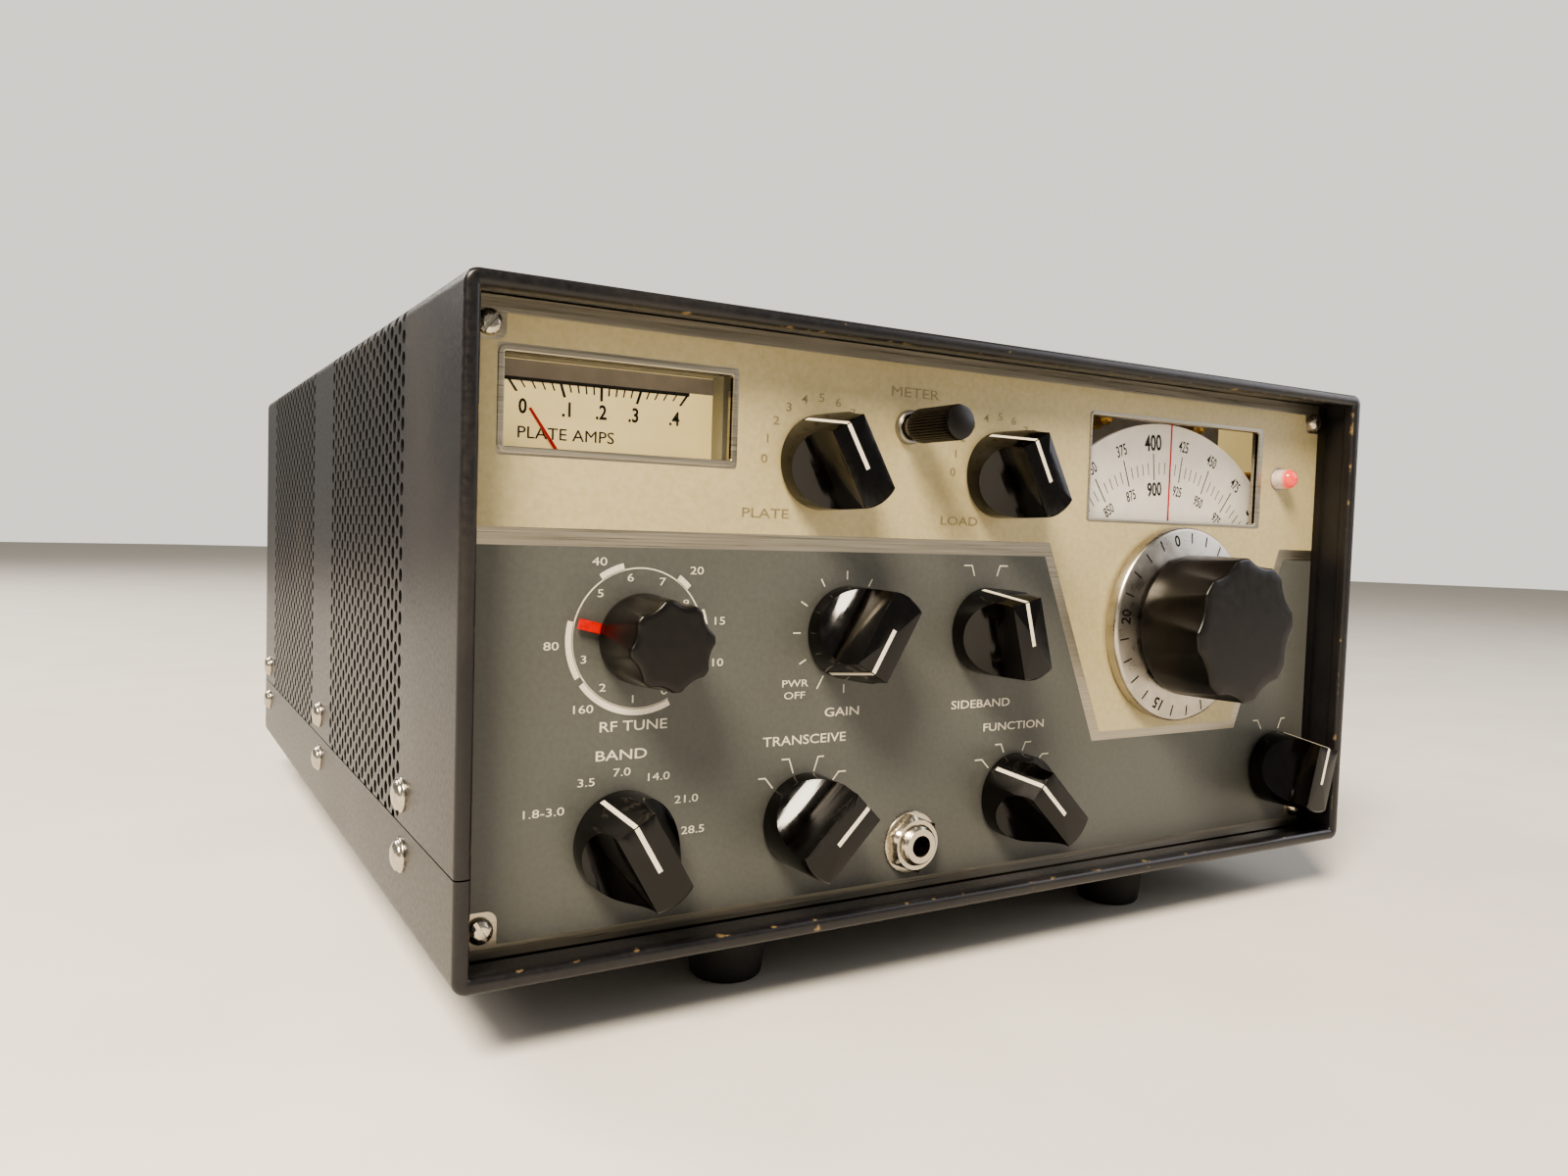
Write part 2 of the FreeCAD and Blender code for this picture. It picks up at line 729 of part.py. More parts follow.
def gain_control():
    """The gain potentiometer with the power switch on its back."""
    profile = (
        (SHAFT_RADIUS + SHAFT_RUN, 24.5),
        (4.7, 24.5),
        (4.7, SUB_BACK + 0.2),
        (11.5, SUB_BACK + 0.2),
        (12.0, SUB_BACK + 0.7),
        (12.0, 43.0),
        (10.5, 43.5),
        (10.5, 56.0),
        (SHAFT_RADIUS + SHAFT_RUN, 56.0),
    )
    return spun(profile, GAIN_AT)


def control_nuts():
    """Hexagon nuts that hold the controls to the sub-panel."""
    nuts = []
    for place in SWITCHED_AT:
        nut = hexagon(place, 12.7, 27.4, SUB_FACE, 15.0)
        nuts.append(nut.cut(rod(place, 4.7, 20, 35)))
    return Part.makeCompound(nuts)


# Meter switch


def meter_switch_body():
    """The lever switch's bushing ring and body."""
    x, height = METER_SWITCH_AT
    profile = ((3.2, 9.4), (3.7, 9.2), (4.1, 9.7), (4.1, 11.0), (3.4, 11.0), (3.4, 13.6), (3.2, 13.6))
    ring = spun(profile, METER_SWITCH_AT)
    body = block(x - 7.0, x + 7.0, PANEL_BACK, 26.0, height - 6.5, height + 6.5)
    return fused([ring, body.cut(rod(METER_SWITCH_AT, 3.2, 10, 19))])


def meter_switch_lever():
    """The bright lever: a ball in the bushing, its shank and its tail."""
    ball = Part.makeSphere(2.85, at(METER_SWITCH_AT[0], PANEL_FACE, METER_SWITCH_AT[1]))
    shank = rod(METER_SWITCH_AT, 1.6, -5.0, 11.0)
    neck = spun(((0.0, 6.9), (2.7, 6.9), (2.6, 10.5), (0.0, 10.5)), METER_SWITCH_AT)
    tail = rod(METER_SWITCH_AT, 1.2, 11.0, 16.5)
    return fused([ball, shank, neck, tail])


def meter_switch_cap():
    """The ribbed sleeve pushed over the lever."""
    outside = ((0.0, -9.0), (3.2, -9.0), (3.9, -8.6), (4.1, -8.0), (4.1, 6.0), (3.6, 6.9))
    socket = ((1.61, 6.9), (1.61, -5.1), (0.0, -5.1))
    return spun(outside + socket, METER_SWITCH_AT)


# Microphone jack


def mic_jack():
    """The jack's threaded barrel and the body behind the panel."""
    barrel = ((MIC_BORE, 6.0), (4.3, 6.0), (4.7, 6.4), (4.7, PANEL_BACK))
    body = ((6.5, PANEL_BACK), (6.5, 36.0), (MIC_BORE, 36.0))
    return spun(barrel + body, MIC_AT)


def mic_jack_nut():
    """The hexagon nut and the washer under it."""
    nut = hexagon(MIC_AT, 12.7, 7.6, 10.2, 8.0).cut(rod(MIC_AT, 4.7, 0, 20))
    washer = rod(MIC_AT, 7.75, 10.2, PANEL_FACE).cut(rod(MIC_AT, 4.75, 0, 20))
    return Part.makeCompound([nut, washer])


# Chassis and what stands on it


def rear_holes():
    """Holes in the rear apron for the connectors."""
    tools = [rod(ANTENNA_AT, 6.0, 290, 305)]
    for x in PHONO_XS:
        tools.append(rod((x, REAR_JACK_HEIGHT), 3.5, 290, 305))
    tools.append(rod((KEY_JACK_X, REAR_JACK_HEIGHT), 4.8, 290, 305))
    tools.append(block(POWER_X - 20, POWER_X + 20, 290, 305, REAR_JACK_HEIGHT - 7, REAR_JACK_HEIGHT + 7))
    for place in antenna_flange_holes() + power_flange_holes():
        tools.append(rod(place, 1.65, 290, 305))
    return tools


def chassis():
    """The folded chassis: deck, side walls and rear apron."""
    wide = CHASSIS_HALF_WIDTH
    solid = block(-wide, wide, CHASSIS_FRONT, CHASSIS_BACK, CHASSIS_LOW, DECK_TOP)
    hollow = block(
        CHASSIS_SHEET - wide,
        wide - CHASSIS_SHEET,
        CHASSIS_FRONT - 1.0,
        CHASSIS_BACK - CHASSIS_SHEET,
        CHASSIS_LOW - 1.0,
        DECK_TOP - CHASSIS_SHEET,
    )
    tray = solid.cut(hollow)
    return cut_all(tray, screw_holes(SIDE_SCREW_HEIGHTS, 1.95) + rear_holes())


def amplifier_cage():
    """The ventilated box over the output tubes and tuning capacitors."""
    outer = block(-86.0, 38.0, 168.0, 290.0, DECK_TOP, 130.0)
    inner = block(-85.0, 37.0, 169.0, 289.0, DECK_TOP - 1.0, 129.0)
    cage = outer.cut(inner)
    tools = [rod(PLATE_AT, 5.0, 160, 172), rod(LOAD_AT, 5.0, 160, 172)]
    return cut_all(cage, tools)


def amplifier_tubes():
    """Two large output tubes with their top caps."""
    tubes = []
    for x in (-52.0, 2.0):
        profile = (
            (0.0, DECK_TOP),
            (13.0, DECK_TOP),
            (13.0, 56.0),
            (14.5, 58.0),
            (14.8, 62.0),
            (14.8, 104.0),
            (13.2, 110.0),
            (8.6, 114.5),
            (4.6, 116.0),
            (4.6, 122.0),
            (0.0, 122.5),
        )
        tubes.append(stood(profile, x, 262.0))
    return Part.makeCompound(tubes)


def small_tubes():
    """The small-signal tubes on their sockets, along the right and middle of the deck."""
    tubes = []
    for x, depth in SMALL_TUBES_AT:
        profile = (
            (0.0, DECK_TOP),
            (10.5, DECK_TOP),
            (10.5, 56.0),
            (9.2, 57.0),
            (9.2, 92.0),
            (7.6, 96.5),
            (3.0, 98.5),
            (1.2, 102.0),
            (0.0, 102.0),
        )
        tubes.append(stood(profile, x, depth))
    return Part.makeCompound(tubes)


def coil_cans():
    """Square aluminium cans of the tuned transformers."""
    cans = []
    for x, depth in COIL_CANS_AT:
        can = block(x - 10, x + 10, depth - 10, depth + 10, DECK_TOP, 92.0)
        edges = []
        for edge in can.Edges:
            low = edge.BoundBox.ZMax < BASE_Z + DECK_TOP + 0.1
            if not low:
                edges.append(edge)
        can = can.makeFillet(1.8, edges)
        cans.append(can.fuse(post(x, depth, 2.5, 91.0, 94.0)).removeSplitter())
    return Part.makeCompound(cans)


# Rear connectors


def antenna_socket():
    """The coaxial socket: square flange, threaded barrel, insulator and centre contact."""
    x, height = ANTENNA_AT
    flange = block(x - 12.7, x + 12.7, CHASSIS_BACK, CHASSIS_BACK + FLANGE, height - 12.7, height + 12.7)
    barrel = rod(ANTENNA_AT, 7.94, CHASSIS_BACK, REAR_REACH)
    core = rod(ANTENNA_AT, 5.8, 286.0, CHASSIS_BACK + 1.0)
    socket = fused([flange, barrel, core])
    socket = socket.cut(rod(ANTENNA_AT, 1.98, CHASSIS_BACK + 1.0, REAR_REACH + 1.0))
    ring = rod(ANTENNA_AT, 6.4, REAR_REACH - 4.0, REAR_REACH + 1.0)
    socket = socket.cut(ring.cut(rod(ANTENNA_AT, 3.4, 290, 330)))
    return cut_all(socket, [rod(place, 1.65, 290, 310) for place in antenna_flange_holes()])


def rear_jacks():
    """The row of phono jacks and the larger key jack."""
    jacks = []
    for x in PHONO_XS:
        place = (x, REAR_JACK_HEIGHT)
        profile = (
            (1.65, 290.0),
            (3.4, 290.0),
            (3.4, CHASSIS_BACK),
            (8.0, CHASSIS_BACK),
            (8.0, 299.6),
            (4.15, 299.6),
            (4.15, 307.5),
            (1.65, 307.5),
        )
        jacks.append(spun(profile, place))
    outside = ((7.5, 272.0), (7.5, 296.7), (4.7, 296.7), (4.7, 303.0))
    profile = ((KEY_BORE, 272.0),) + outside + ((KEY_BORE, 303.0),)
    jacks.append(spun(profile, (KEY_JACK_X, REAR_JACK_HEIGHT)))
    nut = hexagon((KEY_JACK_X, REAR_JACK_HEIGHT), 12.7, CHASSIS_BACK, 300.6, 0.0)
    jacks.append(nut.cut(rod((KEY_JACK_X, REAR_JACK_HEIGHT), 4.7, 290, 305)))
    return Part.makeCompound(jacks)


def power_connector():
    """The multi-pin power inlet: flange, shell and rows of blades."""
    z = REAR_JACK_HEIGHT
    flange = block(POWER_X - 27, POWER_X + 27, CHASSIS_BACK, CHASSIS_BACK + FLANGE, z - 9.5, z + 9.5)
    shell = block(POWER_X - 19.5, POWER_X + 19.5, 284.0, 304.0, z - 6.8, z + 6.8)
    parts = [flange, shell]
    for i in range(6):
        for row in (-1, 1):
            x = POWER_X - 15.0 + 6.0 * i
            parts.append(block(x - 1.6, x + 1.6, 303.0, 311.0, z + row * 3.2 - 0.5, z + row * 3.2 + 0.5))
    body = fused(parts)
    return cut_all(body, [rod(place, 1.65, 290, 310) for place in power_flange_holes()])


def main():
    """Builds and saves every piece."""
    shell = cabinet_shell()
    save("top_cover", top_cover(shell))
    save("bottom_cover", bottom_cover(shell))
    save("side_screws", side_screws())
    save("rubber_feet", rubber_feet())
    save("foot_screws", foot_screws())

    save("front_panel", front_panel())
    save("panel_screws", panel_screws())
    save("sub_panel", sub_panel())
    save("panel_lamps", panel_lamps())
    save("pilot_lens", pilot_lens())
    save("dial_window", dial_window())

    save("meter_case", meter_case())
    save("meter_lens", meter_lens())
    save("meter_scale", meter_scale())
    save("meter_movement", meter_movement())
    save("meter_needle", meter_needle())

    save("dial_disc", dial_disc())
    knob = fluted(TUNING_AT, TUNING_KNOB_RADIUS, TUNING_KNOB_BACK, TUNING_KNOB_FACE, 12.0, 2.1, 1.5)
    save("tuning_knob", knob)
    save("tuning_skirt", tuning_skirt())
    save("tuning_shaft", tuning_shaft())
    save("oscillator_housing", oscillator_housing())

    knob = fluted(RF_TUNE_AT, RF_KNOB_RADIUS, 1.6, RF_KNOB_FACE, 6.0, 1.5, 2.0)
    save("rf_tune_knob", knob)
    save("rf_tune_pointer", rf_tune_pointer())
    save("rf_tune_shaft", rf_tune_shaft())
    save("rf_coil_forms", rf_coil_forms())
    save("slug_rack", slug_rack())

    save("plate_knob", bar_knob(PLATE_AT, PLATE_POINTER))
    save("plate_rotor", capacitor_rotor(PLATE_AT, CAPACITOR_DEPTH, PLATE_POINTER))
    save("plate_stator", capacitor_stator(PLATE_AT, CAPACITOR_DEPTH))
    save("load_knob", bar_knob(LOAD_AT, LOAD_POINTER))
    save("load_rotor", capacitor_rotor(LOAD_AT, CAPACITOR_DEPTH, LOAD_POINTER))
    save("load_stator", capacitor_stator(LOAD_AT, CAPACITOR_DEPTH))
    save("gain_knob", bar_knob(GAIN_AT, GAIN_POINTER))
    save("gain_shaft", plain_shaft(GAIN_AT, 54.0))
    save("gain_control", gain_control())
    save("sideband_knob", bar_knob(SIDEBAND_AT, SIDEBAND_POINTER))
    save("sideband_shaft", plain_shaft(SIDEBAND_AT, 56.0))
    save("band_knob", bar_knob(BAND_AT, BAND_POINTER))
    save("band_shaft", plain_shaft(BAND_AT, 98.0))
    save("transceive_knob", bar_knob(TRANSCEIVE_AT, TRANSCEIVE_POINTER))
    save("transceive_shaft", plain_shaft(TRANSCEIVE_AT, 56.0))
    save("function_knob", bar_knob(FUNCTION_AT, FUNCTION_POINTER))
    save("function_shaft", plain_shaft(FUNCTION_AT, 56.0))
    save("crystal_knob", bar_knob(CRYSTAL_AT, CRYSTAL_POINTER))
    save("crystal_shaft", plain_shaft(CRYSTAL_AT, 56.0))
    save("rotary_switches", rotary_switches())
    save("control_nuts", control_nuts())

    save("meter_switch_body", meter_switch_body())
    save("meter_switch_lever", meter_switch_lever())
    save("meter_switch_cap", meter_switch_cap())
    save("mic_jack", mic_jack())
    save("mic_jack_nut", mic_jack_nut())

    save("chassis", chassis())
    save("amplifier_cage", amplifier_cage())
    save("amplifier_tubes", amplifier_tubes())
    save("small_tubes", small_tubes())
    save("coil_cans", coil_cans())
    save("antenna_socket", antenna_socket())
    save("rear_jacks", rear_jacks())
    save("power_connector", power_connector())


main()
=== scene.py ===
# %% [markdown]
# # A tabletop ham radio transmitter
# The set is a folded steel cabinet with a sunken two-tone panel, eight bar knobs, two fluted
# knobs, a meter and a tuning dial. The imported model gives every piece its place, so this lesson
# only builds the looks. Each cell makes one piece or one finish and says why it is made that way.

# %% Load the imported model
import json
import math
import bmesh
import bpy
from mathutils import Matrix, Vector
from mathutils.geometry import delaunay_2d_cdt

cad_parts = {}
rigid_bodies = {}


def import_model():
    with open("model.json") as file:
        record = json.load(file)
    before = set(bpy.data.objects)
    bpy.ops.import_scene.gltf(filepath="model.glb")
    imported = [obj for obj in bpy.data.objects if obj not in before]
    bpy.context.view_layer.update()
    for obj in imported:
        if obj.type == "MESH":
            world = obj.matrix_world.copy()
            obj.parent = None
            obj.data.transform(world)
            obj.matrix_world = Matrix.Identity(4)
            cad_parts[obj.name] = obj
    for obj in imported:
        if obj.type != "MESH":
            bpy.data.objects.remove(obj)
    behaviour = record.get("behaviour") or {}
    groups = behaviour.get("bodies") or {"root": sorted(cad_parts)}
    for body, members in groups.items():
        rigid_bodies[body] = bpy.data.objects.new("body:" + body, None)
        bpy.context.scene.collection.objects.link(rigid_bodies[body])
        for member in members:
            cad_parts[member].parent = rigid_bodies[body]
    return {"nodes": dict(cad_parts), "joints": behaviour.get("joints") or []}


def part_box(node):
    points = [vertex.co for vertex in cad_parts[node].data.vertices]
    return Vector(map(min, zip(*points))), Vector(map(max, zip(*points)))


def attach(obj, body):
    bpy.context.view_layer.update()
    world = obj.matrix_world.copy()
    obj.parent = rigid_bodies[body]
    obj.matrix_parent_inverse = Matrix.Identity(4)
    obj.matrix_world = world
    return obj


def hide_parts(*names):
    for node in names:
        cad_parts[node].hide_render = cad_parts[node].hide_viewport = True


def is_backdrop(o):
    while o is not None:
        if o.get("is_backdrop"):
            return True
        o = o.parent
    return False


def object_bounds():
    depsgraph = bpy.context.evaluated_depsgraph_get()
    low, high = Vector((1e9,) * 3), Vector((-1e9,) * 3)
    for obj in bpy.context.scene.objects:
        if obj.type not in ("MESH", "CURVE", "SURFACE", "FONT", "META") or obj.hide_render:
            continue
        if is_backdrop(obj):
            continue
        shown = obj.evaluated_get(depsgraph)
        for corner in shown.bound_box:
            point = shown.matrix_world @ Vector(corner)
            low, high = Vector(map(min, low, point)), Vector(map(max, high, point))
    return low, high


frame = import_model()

cad_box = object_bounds()
scene = bpy.context.scene

# %% [markdown]
# Drawings of such a set give a place as x from the middle, depth back from the front rim and
# height above the cabinet's bottom, in millimetres. One function turns that into metres. The
# control axes are read from the joints, so a knob can't stand beside its own shaft.

# %% Places on the set
MM = 0.001
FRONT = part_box("top_cover")[0].y
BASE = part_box("bottom_cover")[0].z
CAB_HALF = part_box("top_cover")[1].x / MM
CAB_HIGH = (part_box("top_cover")[1].z - BASE) / MM
CAB_DEEP = (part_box("top_cover")[1].y - FRONT) / MM
PANEL = (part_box("front_panel")[0].y - FRONT) / MM


def at(x, depth, height):
    return Vector((x * MM, FRONT + depth * MM, BASE + height * MM))


def polar(place, radius, degrees):
    """The point at a radius and an angle from a place."""
    angle = math.radians(degrees)
    return place[0] + radius * math.cos(angle), place[1] + radius * math.sin(angle)


AXIS = {}
for joint in frame["joints"]:
    if "pos_m" in joint:
        AXIS[joint["name"]] = (joint["pos_m"][0] / MM, (joint["pos_m"][2] - BASE) / MM)
TUNING, RF_TUNE, PIVOT = AXIS["tuning_turn"], AXIS["rf_tune_turn"], AXIS["meter_needle_swing"]


def centre(node):
    """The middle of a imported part, as x and height."""
    low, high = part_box(node)
    return (low.x + high.x) / 2 / MM, ((low.z + high.z) / 2 - BASE) / MM


LAMP, MIC = centre("pilot_lens"), centre("mic_jack")
SWITCH = (AXIS["meter_switch_tip"][0], centre("meter_switch_cap")[1])
print("cabinet", round(CAB_HALF * 2, 1), round(CAB_HIGH, 1), round(CAB_DEEP, 1), "mm")

# %% [markdown]
# ## Finishes
# Every finish is a Principled shader fed by noise on Object coordinates, so the pattern is the
# same size on every piece. `add` adds any node with its settings and its links. `surface` is the
# recipe that most finishes share: two close colours mixed by a grain, a roughness that wanders
# with the same grain, and a bump from it. The grain is given in real millimetres, for
# each axis where they differ, so a brushed finish is a grain much longer one way.

# %% Node and colour helpers
def linear(code):
    """An sRGB hex colour as linear values."""
    parts = [int(code[i : i + 2], 16) / 255 for i in (0, 2, 4)]
    return tuple(p / 12.92 if p < 0.04045 else ((p + 0.055) / 1.055) ** 2.4 for p in parts) + (1,)


def add(tree, kind, links=None, **settings):
    """Adds a node, sets it up and feeds its sockets with values or other sockets."""
    made = tree.nodes.new(kind)
    for setting, value in settings.items():
        setattr(made, setting, value)
    for socket, value in (links or {}).items():
        if isinstance(value, bpy.types.NodeSocket):
            tree.links.new(value, made.inputs[socket])
        else:
            made.inputs[socket].default_value = value
    return made.outputs


def surface(name, colours, rough, grain, bump, detail=4.0, **sockets):
    """A finish with a grain: two colours, a roughness range, a grain in mm and a bump in mm."""
    material = bpy.data.materials.new(name)
    material.use_nodes = True
    tree = material.node_tree
    shader = tree.nodes["Principled BSDF"]
    for socket, value in sockets.items():
        shader.inputs[socket.replace("_", " ")].default_value = value
    where = add(tree, "ShaderNodeTexCoord")["Object"]
    grain = grain if isinstance(grain, tuple) else (grain,) * 3
    sizes = [1 / (g * MM) for g in grain]
    scaled = add(tree, "ShaderNodeMapping", {"Vector": where, "Scale": sizes})[0]
    noise = add(tree, "ShaderNodeTexNoise", {"Vector": scaled, "Scale": 1.0, "Detail": detail})[0]
    spread = add(tree, "ShaderNodeMapRange", {0: noise, 1: 0.3, 2: 0.7})[0]
    ends = {0: spread, 6: linear(colours[0]), 7: linear(colours[1])}
    colour = add(tree, "ShaderNodeMix", ends, data_type="RGBA")[2]
    gloss = add(tree, "ShaderNodeMapRange", {0: noise, 1: 0.3, 2: 0.7, 3: rough[0], 4: rough[1]})[0]
    tree.links.new(colour, shader.inputs["Base Color"])
    tree.links.new(gloss, shader.inputs["Roughness"])
    if bump:
        settings = {"Height": noise, "Distance": bump * MM, "Strength": 1.0}
        tree.links.new(add(tree, "ShaderNodeBump", settings)["Normal"], shader.inputs["Normal"])
    return material


print("helpers ready")

# %% [markdown]
# The cabinet is baked enamel over steel: black with a brown cast, semi-gloss, with
# a slight orange peel about a millimetre across. Sixty years of handling have rubbed it through
# along the rim, so a `wear` value stored on the mesh lets bare, tarnished steel through wherever
# a ragged noise falls under it. Fine dust lightens it in soft patches.

# %% Cabinet enamel
enamel = surface("baked_black_enamel", ("121114", "1B191A"), (0.28, 0.4), 1.1, 0.012,
                 Specular_IOR_Level=0.5)
tree = enamel.node_tree
shader = tree.nodes["Principled BSDF"]
where = add(tree, "ShaderNodeTexCoord")["Object"]
ragged = add(tree, "ShaderNodeTexNoise", {"Vector": where, "Scale": 260.0, "Detail": 6.0})[0]
worn = add(tree, "ShaderNodeAttribute", attribute_name="wear")["Fac"]
reach = add(tree, "ShaderNodeMath", {0: worn, 1: ragged}, operation="ADD")[0]
bare = add(tree, "ShaderNodeMapRange", {0: reach, 1: 1.02, 2: 1.1})[0]
dust = add(tree, "ShaderNodeTexNoise", {"Vector": where, "Scale": 14.0, "Detail": 5.0})[0]
dusty = add(tree, "ShaderNodeMapRange", {0: dust, 1: 0.5, 2: 0.8, 3: 0.0, 4: 0.16})[0]
painted = shader.inputs["Base Color"].links[0].from_socket
grey = add(tree, "ShaderNodeMix", {0: dusty, 6: painted, 7: linear("6A645A")}, data_type="RGBA")[2]
steel = {0: bare, 6: grey, 7: linear("8F7B5A")}
tree.links.new(add(tree, "ShaderNodeMix", steel, data_type="RGBA")[2], shader.inputs["Base Color"])
metal = add(tree, "ShaderNodeMath", {0: bare, 1: 0.6}, operation="MULTIPLY")[0]
tree.links.new(metal, shader.inputs["Metallic"])
print("enamel nodes", len(tree.nodes))

# %% [markdown]
# The panel is sheet aluminium, brushed along its length: the grain is 0.25 mm high and 30 mm
# long, coarser than the real scratches so that it still shows. Two satin enamels are silk
# screened over it, a warm beige above and a neutral grey below, and the printing is off-white.
# On the beige the marks are nearly the field's own colour, so they are only just seen.

# %% Panel finishes
BRUSHED = (30.0, 3.0, 0.25)
aluminium = surface("brushed_aluminium", ("A39C8D", "BDB6A6"), (0.26, 0.44), BRUSHED, 0.01,
                    Metallic=1.0)
beige = surface("beige_screened_enamel", ("AEA27D", "B7AC89"), (0.32, 0.44), 1.4, 0.006,
                Specular_IOR_Level=0.45)
grey_field = surface("grey_screened_enamel", ("50514D", "575854"), (0.34, 0.46), 1.2, 0.006,
                     Specular_IOR_Level=0.45)
off_white = surface("off_white_ink", ("CDC6B6", "DDD6C6"), (0.5, 0.62), 0.5, 0.0)
faint_mark = surface("worn_metal_mark", ("857A5C", "968B6C"), (0.3, 0.45), 0.4, 0.0, Metallic=0.35)
black_ink = surface("black_ink", ("0D0B08", "15120E"), (0.6, 0.7), 0.5, 0.0)
print("panel finishes ready")

# %% [markdown]
# The knobs are compression-moulded phenolic: near black, very glossy when new, now with a haze
# of fine scratches that breaks up the reflections. The hollow of a real knob gathers dust, which
# the colour's second, browner tone stands for. The inlaid lines are white enamel.

# %% Knob finishes
phenolic = surface("black_phenolic", ("040303", "090706"), (0.07, 0.15), 3.0, 0.0012, detail=7.0,
                   Specular_IOR_Level=0.42)
satin_phenolic = surface("satin_black_phenolic", ("090706", "110E0C"), (0.28, 0.36), 2.4, 0.0008,
                         Specular_IOR_Level=0.4)
white_fill = surface("white_enamel_inlay", ("D8CFBC", "EAE2D0"), (0.4, 0.5), 0.4, 0.0)
red_paint = surface("red_lacquer", ("B3160C", "C81F12"), (0.3, 0.4), 0.8, 0.004)
black_rubber = surface("moulded_rubber", ("121213", "1A1A1A"), (0.7, 0.85), 0.5, 0.02)
print("knob finishes ready")

# %% [markdown]
# Bright parts: nickel plate on the screws and jacks, clear acrylic on the windows, and the skirt
# dial, which is spun aluminium. Spinning leaves rings round the axis, so its bump comes from a
# ring wave centred on the tuning shaft. The rings are drawn 0.35 mm apart, wider than the real
# ones, so they survive in the picture. The clear parts use a low alpha and not refraction,
# because a thin flat window bends nothing and its shadow must stay light.

# %% Metals and clear parts
nickel = surface("nickel_plate", ("B7B0A2", "C9C2B4"), (0.16, 0.3), 0.6, 0.004, Metallic=1.0)
plated_steel = surface("zinc_plated_steel", ("9A9993", "A9A79F"), (0.34, 0.44), (30.0, 30.0, 2.5),
                       0.002, Metallic=1.0)
raw_aluminium = surface("mill_aluminium", ("A9A9A6", "BBBAB5"), (0.3, 0.48), (12.0, 12.0, 0.8),
                        0.008, Metallic=1.0)
brass = surface("brass", ("B08D4C", "C6A25E"), (0.25, 0.4), 0.8, 0.004, Metallic=1.0)
clear = surface("clear_acrylic", ("1B1B19", "262622"), (0.03, 0.06), 4.0, 0.0, Alpha=0.07,
                Specular_IOR_Level=0.5)
glass = surface("tube_glass", ("5F6665", "737A78"), (0.02, 0.06), 4.0, 0.0, Alpha=0.17,
                Specular_IOR_Level=0.6)
spun = surface("spun_aluminium", ("A8A298", "C4BEB4"), (0.22, 0.36), 6.0, 0.0, Metallic=1.0)
tree = spun.node_tree
where = add(tree, "ShaderNodeTexCoord")["Object"]
shift = {"Vector": where, "Location": -at(TUNING[0], 0, TUNING[1])}
centred = add(tree, "ShaderNodeMapping", shift)[0]
rings = {"Vector": centred, "Scale": math.tau / 20 / (0.35 * MM), "Distortion": 0.4}
wave = add(tree, "ShaderNodeTexWave", rings, wave_type="RINGS", rings_direction="Y")["Fac"]
grooved = add(tree, "ShaderNodeBump", {"Height": wave, "Distance": 0.006 * MM})["Normal"]
tree.links.new(grooved, tree.nodes["Principled BSDF"].inputs["Normal"])
print("metals ready")

# %% [markdown]
# Painted glow: the real set has a lamp behind the meter scale and two behind the dial. Here,
# emission on the printed plates is painted light standing in for them, the meter's cream card more
# warmly than the dial's white disc. The taupe paint is painted shade, with a faint painted glow of
# its own. Inside, the chassis is copper plated, the switch wafers are brown phenolic and the meter
# case is putty-coloured.

# %% Painted glow, painted shade and the inside
# emission: painted glow standing in for the lamp behind the meter scale
painted_glow_cream = surface("cream_card_painted_glow", ("F1DFA6", "F8E7B4"), (0.5, 0.6), 3.0, 0.0,
                      Emission_Color=linear("FFE39A"), Emission_Strength=0.5)
# emission: painted glow standing in for the two dial lamps
painted_glow_white = surface("white_dial_painted_glow", ("E6E0D6", "F0EBE2"), (0.42, 0.5), 3.0, 0.0,
                     Emission_Color=linear("FFEEDC"), Emission_Strength=0.2)
# taupe painted shade for shadowed places behind the windows, with a faint painted glow
painted_shade = surface("painted_shadow_taupe", ("766C5E", "83786A"), (0.5, 0.6), 3.0, 0.0,
                      Emission_Color=linear("8F8474"), Emission_Strength=0.16)
copper = surface("copper_plate", ("8A5A40", "A8745A"), (0.35, 0.55), 18.0, 0.01, detail=8.0,
                 Metallic=1.0)
brown_phenolic = surface("brown_phenolic", ("3A2214", "4A2D1B"), (0.35, 0.5), 1.0, 0.01)
putty = surface("putty_moulding", ("8F8B78", "9A9682"), (0.45, 0.6), 1.0, 0.01)
dark_plate = surface("blackened_nickel", ("2A2A2B", "3A3A3A"), (0.4, 0.6), 1.0, 0.01, Metallic=0.8)
ceramic = surface("white_mica", ("C8C2B4", "D8D2C4"), (0.4, 0.6), 2.0, 0.01)
print("materials", len(bpy.data.materials))

# %% [markdown]
# ## Making shapes
# Most small parts are turned on a lathe, so one helper spins a profile of (radius, depth) pairs.
# Sharp corners never catch light, and no real part has them, so `eased` first rounds each inner
# corner of a profile. Every mesh is built in its final place, because the object itself has to
# stay at the origin.

# %% Shape helpers
def eased(profile, size=0.3, steps=3):
    """Rounds the corners of an open profile; a corner may carry its own size as a third number."""
    out = [tuple(profile[0][:2])]
    for before, corner, after in zip(profile, profile[1:], profile[2:]):
        a, b, c = Vector(before[:2]), Vector(corner[:2]), Vector(after[:2])
        own = corner[2] if len(corner) > 2 else size
        reach = min(own, (a - b).length * 0.45, (c - b).length * 0.45)
        start, end = b + (a - b).normalized() * reach, b + (c - b).normalized() * reach
        for i in range(steps + 1):
            t = i / steps
            out.append(tuple(start * (1 - t) ** 2 + b * 2 * t * (1 - t) + end * t * t))
    return out + [tuple(profile[-1][:2])]


